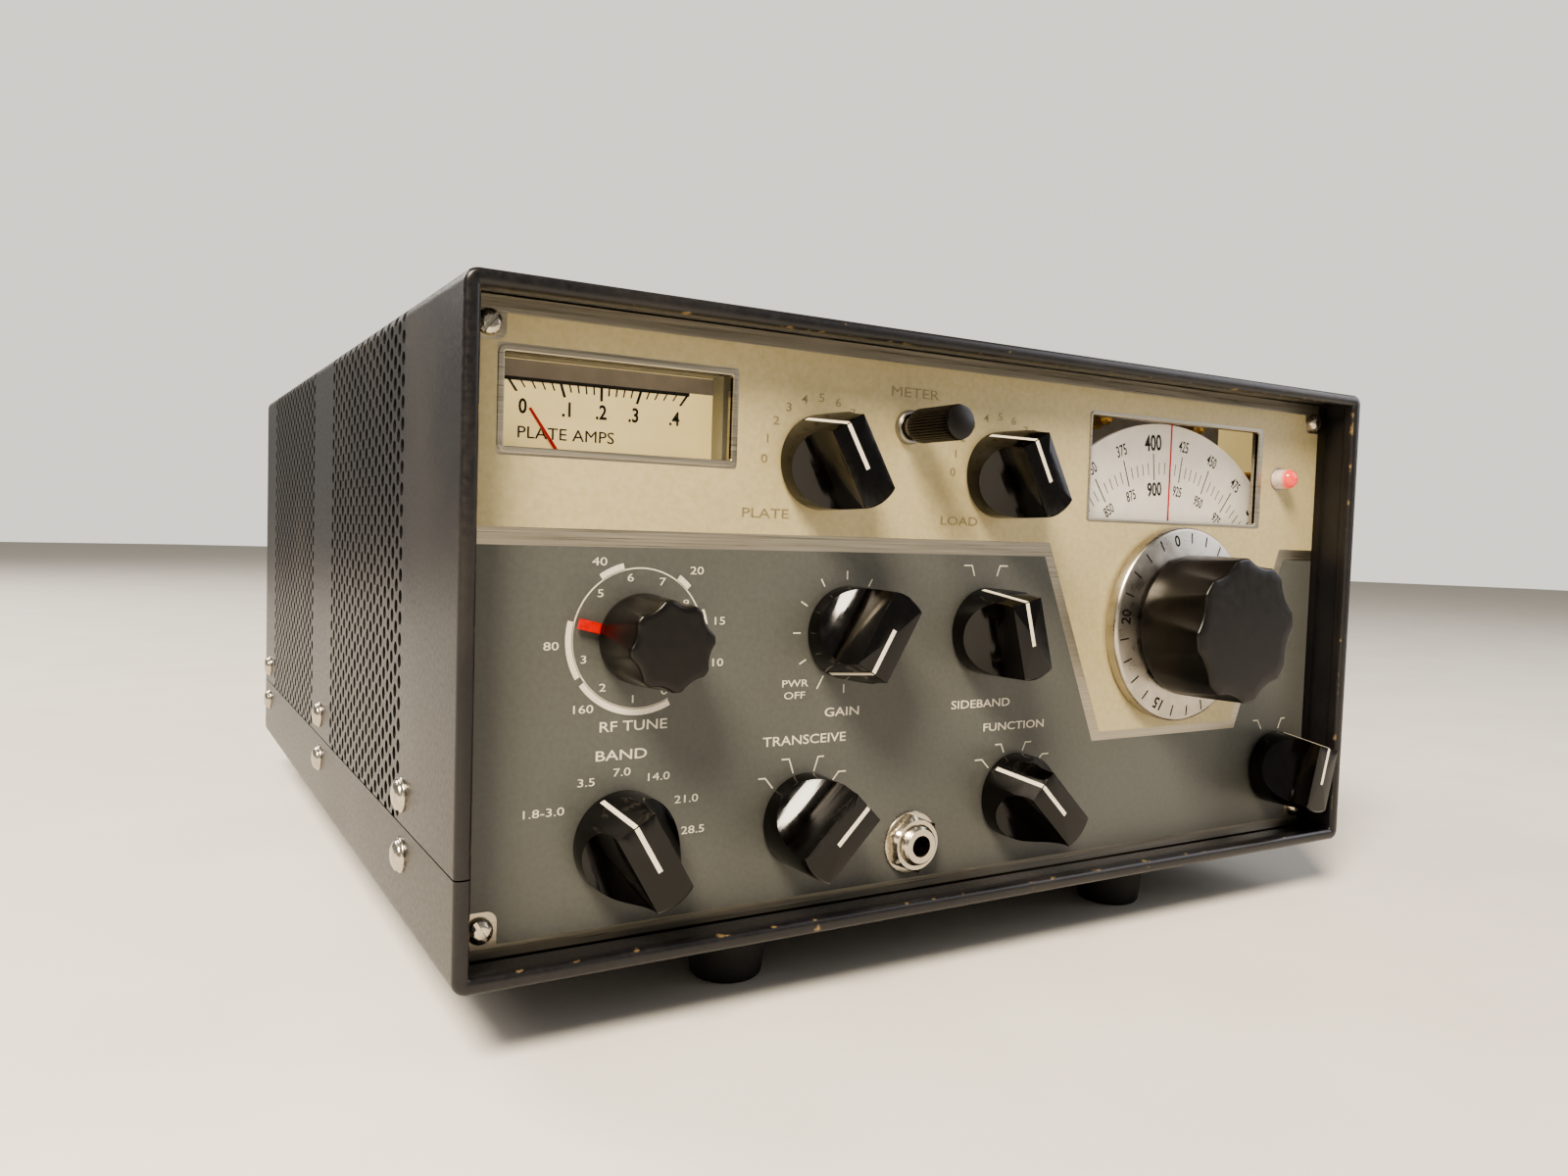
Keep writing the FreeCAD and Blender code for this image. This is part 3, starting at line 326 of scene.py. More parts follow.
def turned(profile, segments=64, rule=None):
    """A turned solid about a front-to-back axis at the origin; a rule may change the radius."""
    shape, rings = bmesh.new(), []
    for radius, depth in profile:
        ring = []
        for i in range(segments if radius > 1e-6 else 1):
            angle = math.tau * i / segments
            r = rule(radius, depth, angle) if rule else radius
            spot = (r * math.cos(angle) * MM, depth * MM, r * math.sin(angle) * MM)
            ring.append(shape.verts.new(spot))
        rings.append(ring)
    pairs = list(zip(rings, rings[1:]))
    if len(rings[0]) > 1 and len(rings[-1]) > 1:
        pairs.append((rings[-1], rings[0]))
    for one, two in pairs:
        for i in range(segments):
            j = (i + 1) % segments
            corners = [one[i % len(one)], one[j % len(one)], two[j % len(two)], two[i % len(two)]]
            corners = list(dict.fromkeys(corners))
            if len(corners) > 2:
                shape.faces.new(corners)
    bmesh.ops.recalc_face_normals(shape, faces=shape.faces)
    return shape


def block(x0, x1, d0, d1, h0, h1, ease=0.0):
    """A box between two x, two depths and two heights in mm, with eased edges."""
    shape = bmesh.new()
    bmesh.ops.create_cube(shape, size=1.0)
    size = Matrix.Diagonal(((x1 - x0) * MM, (d1 - d0) * MM, (h1 - h0) * MM, 1))
    middle = Vector(((x0 + x1) / 2 * MM, (d0 + d1) / 2 * MM, (h0 + h1) / 2 * MM))
    bmesh.ops.transform(shape, matrix=Matrix.Translation(middle) @ size, verts=shape.verts)
    if ease:
        bmesh.ops.bevel(shape, geom=shape.edges[:], offset=ease * MM, segments=2, profile=0.5,
                        affect="EDGES")
    return shape


def skinned(shape, rings, caps=True):
    """Walls from each ring of points to the next. Without caps the last joins the first."""
    for one, two in zip(rings, rings[1:] + ([] if caps else rings[:1])):
        for i in range(len(one)):
            j = (i + 1) % len(one)
            shape.faces.new((one[i], one[j], two[j], two[i]))
    if caps:
        shape.faces.new(rings[0])
        shape.faces.new(rings[-1])
    bmesh.ops.recalc_face_normals(shape, faces=shape.faces)
    return shape


def prism(ends):
    """A prism between two outlines of (x, depth, height) points in mm."""
    shape = bmesh.new()
    return skinned(shape, [[shape.verts.new(Vector(p) * MM) for p in end] for end in ends])


def joined(shapes):
    """Puts several shapes in one, as separate shells."""
    whole = shapes[0]
    for shape in shapes[1:]:
        part = bpy.data.meshes.new("part")
        shape.to_mesh(part)
        whole.from_mesh(part)
        bpy.data.meshes.remove(part)
    return whole


def placed(shape, place, lean=0.0, depth=0.0):
    """Turns a shape counter-clockwise about its axis as the operator sees it, and moves it."""
    spin = Matrix.Rotation(-math.radians(lean), 4, "Y")
    spot = Matrix.Translation(at(place[0], depth, place[1]))
    bmesh.ops.transform(shape, matrix=spot @ spin, verts=shape.verts)
    return shape


def new_piece(name, shape, material):
    """An object from a bmesh, with its finish."""
    mesh = bpy.data.meshes.new(name)
    shape.to_mesh(mesh)
    mesh.materials.append(material)
    piece = bpy.data.objects.new(name, mesh)
    scene.collection.objects.link(piece)
    return piece


def plain(piece):
    """Swaps an object's mesh for what its modifiers make of it, and drops the modifiers."""
    bpy.context.view_layer.update()
    graph = bpy.context.evaluated_depsgraph_get()
    mesh = bpy.data.meshes.new_from_object(piece.evaluated_get(graph), depsgraph=graph)
    piece.modifiers.clear()
    piece.data = mesh
    return piece


def settle(piece, body, nodes=(), sharp=34):
    """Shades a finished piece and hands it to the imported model."""
    mesh = piece.data
    mesh.shade_smooth()
    mesh.set_sharp_from_angle(angle=math.radians(sharp))
    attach(piece, body)
    if nodes:
        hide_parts(*nodes)
    print(piece.name, "faces", len(mesh.polygons))
    return piece


def fitted(name, shape, material, body, nodes=(), sharp=34):
    """A shape as a finished piece, settled on its body."""
    return settle(new_piece(name, shape, material), body, nodes, sharp)


print("shape helpers ready")

# %% [markdown]
# Screws, feet, jacks, tubes and cans are one shape many times. A small node tree sets a shape
# out on places: each vertex of a carrier mesh is a place, and its `turn` value says how the copy
# stands there. It realises the copies and gives them their finish, so a plain mesh comes out.

# %% Node tree: set a shape out on places
def new_tree(name, inputs):
    """A node tree with a mesh in and out, and named inputs for its sizes."""
    tree = bpy.data.node_groups.new(name, "GeometryNodeTree")
    tree.interface.new_socket("Geometry", in_out="INPUT", socket_type="NodeSocketGeometry")
    tree.interface.new_socket("Geometry", in_out="OUTPUT", socket_type="NodeSocketGeometry")
    for label, kind in inputs:
        tree.interface.new_socket(label, in_out="INPUT", socket_type="NodeSocket" + kind)
    return tree, add(tree, "NodeGroupInput")


def grown(name, tree, base, sizes):
    """An object with a node tree on it as a live modifier."""
    piece = bpy.data.objects.new(name, base)
    scene.collection.objects.link(piece)
    modifier = piece.modifiers.new(tree.name, "NODES")
    modifier.node_group = tree
    for item in tree.interface.items_tree:
        if item.item_type == "SOCKET" and item.in_out == "INPUT" and item.name in sizes:
            modifier[item.identifier] = sizes[item.name]
    return piece


set_out, given = new_tree("set_out_on_places", (("Shape", "Object"), ("Finish", "Material")))
shape_of = add(set_out, "GeometryNodeObjectInfo", {"Object": given["Shape"]})["Geometry"]
stored = add(set_out, "GeometryNodeInputNamedAttribute", {"Name": "turn"},
             data_type="FLOAT_VECTOR")["Attribute"]
stands = add(set_out, "FunctionNodeEulerToRotation", {"Euler": stored})[0]
copied = add(set_out, "GeometryNodeInstanceOnPoints",
             {"Points": given["Geometry"], "Instance": shape_of, "Rotation": stands})[0]
real = add(set_out, "GeometryNodeRealizeInstances", {"Geometry": copied})[0]
done = add(set_out, "GeometryNodeSetMaterial", {"Geometry": real, "Material": given["Finish"]})[0]
add(set_out, "NodeGroupOutput", {"Geometry": done})

UPRIGHT = (math.pi / 2, 0, 0)


def copies(name, shape, places, material):
    """Copies of a shape at (x, depth, height, turn) places, as one plain mesh."""
    pattern = new_piece(name + "_pattern", shape, material)
    carrier = bpy.data.meshes.new(name)
    carrier.from_pydata([at(*place[:3]) for place in places], [], [])
    turns = carrier.attributes.new("turn", "FLOAT_VECTOR", "POINT")
    for value, place in zip(turns.data, places):
        value.vector = place[3] if len(place) > 3 else (0, 0, 0)
    piece = plain(grown(name, set_out, carrier, {"Shape": pattern, "Finish": material}))
    bpy.data.objects.remove(pattern)
    return piece


print("set_out nodes", len(set_out.nodes))

# %% [markdown]
# ## The cabinet
# The upper wrap is one sheet folded down both sides and punched with eighth-inch holes in a
# staggered pattern, all over except for plain bands at the front, middle and back. Punched
# sheet is the same few millimetres thousands of times, so a node tree makes it: a tile of one
# whole hole and two halves goes on a grid, the copies are welded, and the flat sheet is folded
# by a rule. The rule measures along the sheet's mid-line, so the holes keep their pitch round
# the bend, as they do on a real fold. Solidify then gives the sheet its thickness inwards.

# %% Node tree: punched and folded sheet
wrap, given = new_tree("punched_wrap", (
    ("Rows", "Int"), ("Pairs", "Int"), ("Row pitch", "Float"), ("Column pitch", "Float"),
    ("Start", "Float"), ("End", "Float"), ("Half width", "Float"), ("Top", "Float"),
    ("Bend radius", "Float"), ("Sheet", "Float"), ("Middle", "Float"), ("Finish", "Material")))
steps = (
    ("row gaps", "SUBTRACT", "Rows", 1.0),
    ("long", "MULTIPLY", "row gaps", "Row pitch"),
    ("pair gaps", "SUBTRACT", "Pairs", 1.0),
    ("pair pitch", "MULTIPLY", "Column pitch", 2.0),
    ("wide", "MULTIPLY", "pair gaps", "pair pitch"),
    ("half wide", "MULTIPLY", "wide", 0.5),
    ("shift", "ADD", "Start", "half wide"),
    ("side", "SIGN", "across", 0.0),
    ("run", "ABSOLUTE", "across", 0.0),
    ("flat half", "SUBTRACT", "Half width", "Bend radius"),
    ("level", "MINIMUM", "run", "flat half"),
    ("over", "SUBTRACT", "run", "flat half"),
    ("past", "MAXIMUM", "over", 0.0),
    ("half sheet", "MULTIPLY", "Sheet", 0.5),
    ("mid radius", "SUBTRACT", "Bend radius", "half sheet"),
    ("turn", "DIVIDE", "past", "mid radius"),
    ("angle", "MINIMUM", "turn", math.pi / 2),
    ("arc", "MULTIPLY", "mid radius", math.pi / 2),
    ("spare", "SUBTRACT", "past", "arc"),
    ("drop", "MAXIMUM", "spare", 0.0),
    ("sine", "SINE", "angle", 0.0),
    ("cosine", "COSINE", "angle", 0.0),
    ("bow", "MULTIPLY", "sine", "Bend radius"),
    ("out", "ADD", "level", "bow"),
    ("offset", "MULTIPLY", "out", "side"),
    ("x", "ADD", "offset", "Middle"),
    ("dip", "SUBTRACT", 1.0, "cosine"),
    ("sag", "MULTIPLY", "dip", "Bend radius"),
    ("crown", "SUBTRACT", "Top", "sag"),
    ("z", "SUBTRACT", "crown", "drop"),
)
flat = add(wrap, "ShaderNodeSeparateXYZ", {0: add(wrap, "GeometryNodeInputPosition")[0]})
value = {label: given[label] for label in given.keys()}
value["across"] = flat["X"]
for label, operation, one, two in steps:
    pair = {0: value.get(one, one), 1: value.get(two, two)}
    value[label] = add(wrap, "ShaderNodeMath", pair, operation=operation)[0]
grid = add(wrap, "GeometryNodeMeshGrid", {"Size X": value["long"], "Size Y": value["wide"],
           "Vertices X": given["Rows"], "Vertices Y": given["Pairs"]})["Mesh"]
aside = add(wrap, "ShaderNodeCombineXYZ", {"Y": value["shift"]})[0]
grid = add(wrap, "GeometryNodeTransform", {"Geometry": grid, "Translation": aside})[0]
tiles = add(wrap, "GeometryNodeInstanceOnPoints",
            {"Points": grid, "Instance": given["Geometry"]})[0]
tiles = add(wrap, "GeometryNodeRealizeInstances", {"Geometry": tiles})[0]
beyond = add(wrap, "ShaderNodeMath", {0: flat["Y"], 1: given["End"]}, operation="GREATER_THAN")[0]
tiles = add(wrap, "GeometryNodeDeleteGeometry", {"Geometry": tiles, "Selection": beyond},
            domain="FACE")[0]
sheet = add(wrap, "GeometryNodeMergeByDistance", {"Geometry": tiles, "Distance": 2e-5})[0]
folded = add(wrap, "ShaderNodeCombineXYZ", {"X": value["x"], "Y": flat["Y"], "Z": value["z"]})[0]
sheet = add(wrap, "GeometryNodeSetPosition", {"Geometry": sheet, "Position": folded})[0]
sheet = add(wrap, "GeometryNodeRealizeInstances", {"Geometry": sheet})[0]
sheet = add(wrap, "GeometryNodeSetMaterial", {"Geometry": sheet, "Material": given["Finish"]})[0]
add(wrap, "NodeGroupOutput", {"Geometry": sheet})
print("punched_wrap nodes", len(wrap.nodes))


# %% Punched zones of the upper wrap
def tile(row_pitch, column_pitch, hole):
    """One whole hole and, in the next column, two halves: the pattern's smallest repeat."""
    points, faces = [], []
    whole = [(0.0, 0.5, u, v) for u in (1, -1) for v in (1, -1)]
    halves = [(side * 0.5, 1.5, -side, v) for side in (1, -1) for v in (1, -1)]
    for along, over, u, v in whole + halves:
        start = len(points)
        rim = [(hole * math.sin(math.radians(a)), hole * math.cos(math.radians(a)))
               for a in (0, 30, 60, 90)]
        edge = [(0, 0.5), (0.25, 0.5), (0.5, 0.5), (0.5, 0)]
        edge = [(a * row_pitch, b * column_pitch) for a, b in edge]
        for a, b in rim + edge:
            spot = (along * row_pitch + u * a, over * column_pitch + v * b)
            points.append((spot[0] * MM, spot[1] * MM, 0))
        for face in ((0, 4, 5, 1), (1, 5, 6), (1, 6, 2), (2, 6, 7, 3)):
            order = face if u * v < 0 else face[::-1]
            faces.append([start + i for i in order])
    mesh = bpy.data.meshes.new("tile")
    mesh.from_pydata(points, [], faces)
    return mesh


def punched(name, rows, columns, pitches, hole, start, sizes, finish):
    """A punched and folded sheet as a plain mesh."""
    sizes = {**sizes, "Rows": rows, "Pairs": (columns + 1) // 2, "Row pitch": pitches[0] * MM,
             "Column pitch": pitches[1] * MM, "Start": FRONT + start * MM, "Finish": finish,
             "End": FRONT + (start + columns * pitches[1]) * MM}
    piece = grown(name, wrap, tile(pitches[0], pitches[1], hole), sizes)
    solid = piece.modifiers.new("Sheet", "SOLIDIFY")
    solid.thickness, solid.offset, solid.use_even_offset = sizes["Sheet"], -1.0, True
    return plain(piece)


BEND, SHEET, SPLIT = 3.0, 1.3, 22.8
ROWS, HOLE = 104, 1.58
ROUND = (BEND - SHEET / 2) * math.pi / 2
ROW_PITCH = 2 * (CAB_HALF - BEND + ROUND + CAB_HIGH - BEND - SPLIT) / ROWS
COLUMN_PITCH = 4.125
ZONES = ((47.5, 23), (175.2, 24))
cover = {"Half width": CAB_HALF * MM, "Top": BASE + CAB_HIGH * MM, "Bend radius": BEND * MM,
         "Sheet": SHEET * MM, "Middle": 0.0}
for i, (start, columns) in enumerate(ZONES):
    piece = punched(f"cover_perforated_{i + 1}", ROWS, columns, (ROW_PITCH, COLUMN_PITCH), HOLE,
                    start, cover, enamel)
    settle(piece, "root", ["top_cover"], sharp=40)
print("row pitch", round(ROW_PITCH, 3), "mm, holes about", ROWS * 47)

# %% [markdown]
# The plain bands and the lower tray are the same sheet without holes. Their section runs round
# the wrap: along the outside, over the rolled rim, back inside past the hem. Sweeping it keeps
# the rim's round edge even at the corners. Each section point knows how worn it is, most on the
# rim's inner edge, where knuckles and cloths rub.

# %% Plain bands and the lower tray
def contour(inset, low, flip):
    """The wrap's outline at an inset from its outside, from one low edge over to the other."""
    half, top, r = CAB_HALF - inset, CAB_HIGH - inset, max(BEND - inset, 0.6)
    points = [(-half, low)]
    for side, first in ((-1, 180), (1, 90)):
        points += [polar((side * (half - r), top - r), r, first - 90 * i / 8) for i in range(9)]
    points.append((half, low))
    return [(x, CAB_HIGH - h if flip else h) for x, h in points]


def swept(sections, low, flip=False):
    """Sweeps closed (inset, depth, wear) sections along the wrap."""
    shape = bmesh.new()
    wear = shape.verts.layers.float.new("wear")
    for section in sections:
        rows = []
        for inset, depth, rubbed in section:
            row = []
            for x, height in contour(inset, low, flip):
                point = shape.verts.new(at(x, depth, height))
                point[wear] = rubbed
                row.append(point)
            rows.append(row)
        skinned(shape, list(zip(*rows)))
    return shape


def rubbed(inset, depth):
    """How worn the rim is at a point of its section, from 0 to 1."""
    front = max(0.0, 1.0 - depth / 2.4)
    hem = 0.14 if 3.1 < inset < 3.5 else 0.0
    return 0.12 + front * (0.16 + 0.1 * min(inset / 3.4, 1.0)) + hem


def rim_section(back):
    """The section of a band that starts at the rim and ends at a depth."""
    corners = [(0, back), (0, 0, 1.5), (3.4, 0, 1.5), (3.4, 3.4, 0.4), (2.4, 3.4), (2.4, 10.4, 0.4),
               (SHEET, 10.4), (SHEET, back)]
    return [(i, d, rubbed(i, d)) for i, d in eased(corners, 0.2, 5)]


def band_section(start, end):
    return [(0, end, 0.0), (0, start, 0.0), (SHEET, start, 0.0), (SHEET, end, 0.0)]


ends = [start + columns * COLUMN_PITCH for start, columns in ZONES]
bands = [rim_section(ZONES[0][0]), band_section(ends[0], ZONES[1][0]),
         band_section(ends[1], CAB_DEEP)]
fitted("cover_bands", swept(bands, SPLIT), enamel, "root", ["top_cover"], sharp=30)
LOWER = CAB_HIGH - (SPLIT - 0.3)
fitted("lower_tray", swept([rim_section(CAB_DEEP)], LOWER, flip=True), enamel, "root",
       ["bottom_cover"], sharp=30)

# %% [markdown]
# Twelve domed screws hold the covers to the chassis and four rubber feet carry the set. Both are
# turned profiles set out on places. The screw's dome has a thin washer face under it.

# %% Side screws, feet and foot screws
dome = eased([(0, 0.4), (4.0, 0.4), (4.0, -0.5), (3.5, -0.75), (3.3, -1.4), (2.0, -2.1),
              (0, -2.3)], 0.5)
places = []
for depth in (45.0, 160.0, 287.0):
    for height in (16.0, 29.5):
        for side in (-1, 1):
            places.append((side * CAB_HALF, depth, height, (0, 0, side * math.pi / 2)))
settle(copies("side_screw_heads", turned(dome, 28), places, nickel), "root",
       ["side_screws"])

FEET = [(x, depth, 0.0, UPRIGHT) for x in (-64.5, 64.5) for depth in (26.0, 268.0)]
foot = [(2.0, -6.0), (2.0, 0.0), (10.0, 0.0), (10.0, -3.0), (8.6, -15.2), (7.8, -16.0),
        (5.0, -16.0), (5.0, -6.0)]
settle(copies("moulded_feet", turned(eased(foot, 0.5), 48), FEET, black_rubber), "root",
       ["rubber_feet"])
head = [(0, 4.0), (3.6, 4.0), (3.6, 1.3), (1.9, 1.3), (1.9, -6.1), (3.9, -6.1), (3.6, -8.7),
        (0, -9.0)]
settle(copies("foot_screw_heads", turned(eased(head, 0.3), 28), FEET, nickel), "root",
       ["foot_screws"])

# %% [markdown]
# ## The panel
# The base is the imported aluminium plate. The two fields are enamel films a few hundredths of a
# millimetre thick with crisp edges, so each is an outline with holes, filled with triangles and
# given a thickness. Bare metal stays in view as a strip along the top and bottom, between the
# fields, round the windows and in a rounded patch at each corner screw.

# %% Paint films
METER_WINDOW = (-125.5, -74.9, 105.2, 123.7)
DIAL_WINDOW = (34.4, 103.2, 96.5, 124.0)
HOLES = [(AXIS[name], 5.4) for name in AXIS if name.endswith("_turn")]
HOLES += [(LAMP, 3.6), (SWITCH, 3.6), (MIC, 5.0)]


def inside(place, outline):
    """Whether a place lies in an outline."""
    odd = False
    for (x0, h0), (x1, h1) in zip(outline, outline[1:] + outline[:1]):
        if (h0 > place[1]) != (h1 > place[1]):
            if place[0] < x0 + (x1 - x0) * (place[1] - h0) / (h1 - h0):
                odd = not odd
    return odd


def film(name, outlines, front, back, material, body="root"):
    """A sheet between two depths from an (x, height) outline and the outlines of its holes."""
    points, edges = [], []
    for outline in outlines:
        start = len(points)
        points += [Vector(point) for point in outline]
        count = len(outline)
        edges += [(start + i, start + (i + 1) % count) for i in range(count)]
    filled = delaunay_2d_cdt(points, edges, [], 0, 1e-5)
    spots, triangles = filled[0], filled[2]
    shape = bmesh.new()
    layers = [[shape.verts.new(at(x, depth, h)) for x, h in spots] for depth in (front, back)]
    for triangle in triangles:
        middle = sum((spots[i] for i in triangle), Vector((0, 0))) / len(triangle)
        if inside(middle, outlines[0]) and not any(inside(middle, hole) for hole in outlines[1:]):
            for layer in layers:
                shape.faces.new([layer[i] for i in triangle])
    pairs = dict(zip(layers[0], layers[1]))
    rims = [edge for edge in shape.edges if edge.is_boundary and edge.verts[0] in pairs]
    for edge in rims:
        one, two = edge.verts
        shape.faces.new((one, two, pairs[two], pairs[one]))
    bmesh.ops.delete(shape, geom=[v for v in shape.verts if not v.link_faces], context="VERTS")
    bmesh.ops.recalc_face_normals(shape, faces=shape.faces)
    return fitted(name, shape, material, body)


def circle(place, radius, count=40):
    return [polar(place, radius, 360 * i / count) for i in range(count)]


def corners(x0, x1, h0, h1):
    return [(x0, h0), (x1, h0), (x1, h1), (x0, h1)]


def rounded(x0, x1, h0, h1, r, count=5):
    """A rectangle with round corners."""
    points = []
    for x, h, first in ((x1 - r, h1 - r, 0), (x0 + r, h1 - r, 90), (x0 + r, h0 + r, 180),
                        (x1 - r, h0 + r, 270)):
        points += [polar((x, h), r, first + 90 * i / count) for i in range(count + 1)]
    return points


def notch(x, h, sx, sh, r=2.2):
    """The inner corner of a bare patch round a corner screw, as an arc bulging into the paint."""
    points = []
    for i in range(6):
        a = math.radians(90 * i / 5)
        points.append((x + sx * (r - r * math.sin(a)), h + sh * (r - r * math.cos(a))))
    return points


upper = ([(-131.5, 89.3), (-131.5, 125.6)] + notch(-125.2, 125.6, -1, 1) + [(-125.2, 131.0)]
         + [(125.2, 131.0)] + notch(125.2, 125.6, 1, 1)[::-1] + [(131.5, 125.6)]
         + [(131.5, 89.3), (115.6, 89.3), (96.6, 37.8), (42.0, 37.8), (20.6, 89.3)])
lower = ([(-131.5, 85.7), (19.2, 85.7), (39.3, 35.4), (98.6, 35.4), (117.6, 86.0), (131.5, 86.0)]
         + [(131.5, 12.3)] + notch(125.0, 12.3, 1, -1) + [(125.0, 5.4), (-125.0, 5.4)]
         + notch(-125.0, 12.3, -1, -1)[::-1] + [(-131.5, 12.3)])
trims = [rounded(-127.0, -73.4, 103.4, 125.4, 0.8), rounded(33.5, 105.5, 95.4, 125.2, 0.8)]
PAINT, INK_RISE = 0.04, 0.03
FILM = PANEL - PAINT
for name, outline, extra, ink in (("beige_field", upper, trims, beige),
                                  ("grey_field", lower, [], grey_field)):
    cuts = [circle(*hole) for hole in HOLES if inside(hole[0], outline)]
    film(name, [outline] + extra + cuts, FILM, PANEL, ink)

# %% [markdown]
# A narrow frame stands round each window, its inner edge rolled towards the glass, so it always
# shows one bright line. It is a rectangle swept with a small eased section.

# %% Window frames
def window_frame(name, edges, width, proud):
    """A raised frame round a window: rings at growing distances from the opening."""
    x0, x1, h0, h1 = edges
    section = eased([(0.0, 0.9), (0.0, -proud), (width, -proud), (width, 0.0)], 0.35, 4)
    shape, rows = bmesh.new(), []
    for out, depth in section:
        ring = rounded(x0 - out, x1 + out, h0 - out, h1 + out, 0.4 + out)
        rows.append([shape.verts.new(at(x, PANEL + depth, h)) for x, h in ring])
    skinned(shape, rows, caps=False)
    return fitted(name, shape, aluminium, "root")


window_frame("meter_frame", METER_WINDOW, 1.3, 0.25)
window_frame("dial_frame", DIAL_WINDOW, 0.9, 0.25)

# %% [markdown]
# ## Printing
# Ink stands a few hundredths of a millimetre proud of what it is printed on. Words and numbers
# are text made into mesh and stretched to the wide or narrow face the set uses. Only plain words
# for what a control does, and the numbers of its scale, are drawn. A `drape` rule can lay the
# print on something that isn't flat.

# %% Lettering
INK = FILM - INK_RISE
probe = bpy.data.curves.new("probe", "FONT")
probe.body = "H"
holder = bpy.data.objects.new("probe", probe)
tall = bpy.data.meshes.new_from_object(holder)
CAPITAL = max(v.co.y for v in tall.vertices) - min(v.co.y for v in tall.vertices)
bpy.data.objects.remove(holder)


def lettering(name, words, depth, material, body, drape=None):
    """Words given as (text, x, height, capital height, turn, width, weight), in mm and degrees."""
    whole = bmesh.new()
    for text, x, height, capital, turn, wide, weight in words:
        curve = bpy.data.curves.new(name, "FONT")
        curve.body, curve.align_x, curve.align_y = text, "CENTER", "CENTER"
        curve.size = capital / CAPITAL * MM
        curve.offset, curve.extrude, curve.resolution_u = weight * MM, 0.015 * MM, 3
        holder = bpy.data.objects.new(name, curve)
        mesh = bpy.data.meshes.new_from_object(holder)
        bpy.data.objects.remove(holder)
        spot = Matrix.Translation(at(x, depth, height)) @ Matrix.Rotation(math.pi / 2, 4, "X")
        lie = Matrix.Rotation(math.radians(turn), 4, "Z") @ Matrix.Diagonal((wide, 1, 1, 1))
        mesh.transform(spot @ lie)
        whole.from_mesh(mesh)
        bpy.data.meshes.remove(mesh)
    if drape:
        for vert in whole.verts:
            vert.co.y = drape(vert.co)
    for face in whole.faces:
        face.material_index = 0
    return fitted(name, whole, material, body)


WIDE = 1.42
RF_ZERO, RF_STEP = 298, 33
words = [("RF TUNE", -96.4, 47.9, 2.1, 0, 1.3, 0.01), ("BAND", -99.0, 41.8, 2.1, 0, WIDE, 0.01),
         ("GAIN", -43.3, 48.0, 2.0, 0, WIDE, 0.01), ("SIDEBAND", -0.7, 47.7, 2.0, 0, WIDE, 0.01),
         ("FUNCTION", 10.8, 41.4, 2.0, 0, WIDE, 0.01), ("OFF", -56.6, 52.4, 1.6, 0, WIDE, 0.0),
         ("PWR", -56.6, 55.2, 1.6, 0, WIDE, 0.0), ("TRANSCEIVE", -53.3, 42.0, 2.1, 0, 1.3, 0.01)]
for text, x, height in (("160", -108.0, 51.9), ("80", -114.9, 65.2), ("40", -104.8, 82.6),
                        ("20", -82.4, 80.9), ("15", -76.7, 69.9), ("10", -77.0, 60.7),
                        ("1.8-3.0", -116.0, 31.0), ("3.5", -106.7, 36.5), ("7.0", -98.8, 38.1),
                        ("14.0", -90.5, 36.5), ("21.0", -83.5, 31.0), ("28.5", -81.7, 24.0)):
    words.append((text, x, height, 1.65, 0, WIDE, 0.0))
for unit in range(11):
    spot = polar(RF_TUNE, 13.0, RF_ZERO - RF_STEP * unit)
    words.append((str(unit), *spot, 1.6, 0, WIDE, 0.0))
lettering("panel_words_white", words, INK, off_white, "root")

words = [("METER", -25.2, 124.2, 2.3, 0, 1.45, 0.0), ("PLATE", -65.8, 93.9, 2.1, 0, 1.45, 0.02),
         ("LOAD", -10.2, 93.9, 2.1, 0, 1.45, 0.02)]
for unit in range(11):
    for control in ("plate_turn", "load_turn"):
        spot = polar(AXIS[control], 14.7, 180 - 18 * unit)
        words.append((str(unit), *spot, 1.9, 0, 1.3, 0.02))
lettering("panel_words_faint", words, INK, faint_mark, "root")

# %% [markdown]
# Scale arcs, leader lines and the meter's bar are plain outlines, each a thin prism.

# %% Arcs and leader lines
def arc(place, r0, r1, a0, a1, count=24):
    """A band of a circle between two radii and two angles."""
    turns = [a0 + (a1 - a0) * i / count for i in range(count + 1)]
    return [polar(place, r1, a) for a in turns] + [polar(place, r0, a) for a in turns[::-1]]


def stroke(points, width):
    """A line of constant width through points, mitred at its corners."""
    left, right = [], []
    for i, point in enumerate(points):
        before, after = points[max(i - 1, 0)], points[min(i + 1, len(points) - 1)]
        a, b = Vector(point) - Vector(before), Vector(after) - Vector(point)
        way = (a.normalized() if a.length else b.normalized())
        way = (way + (b.normalized() if b.length else way)).normalized()
        reach = width / 2 / max(0.5, way.dot(a.normalized() if a.length else b.normalized()))
        left.append((point[0] - way.y * reach, point[1] + way.x * reach))
        right.append((point[0] + way.y * reach, point[1] - way.x * reach))
    return left + right[::-1]


def prints(name, outlines, depth, material, body):
    """Outlines as one piece of thin print whose middle is at a depth."""
    shapes = [prism([[(x, d, h) for x, h in outline] for d in (-0.015, 0.015)])
              for outline in outlines]
    return fitted(name, placed(joined(shapes), (0, 0), 0, depth), material, body)


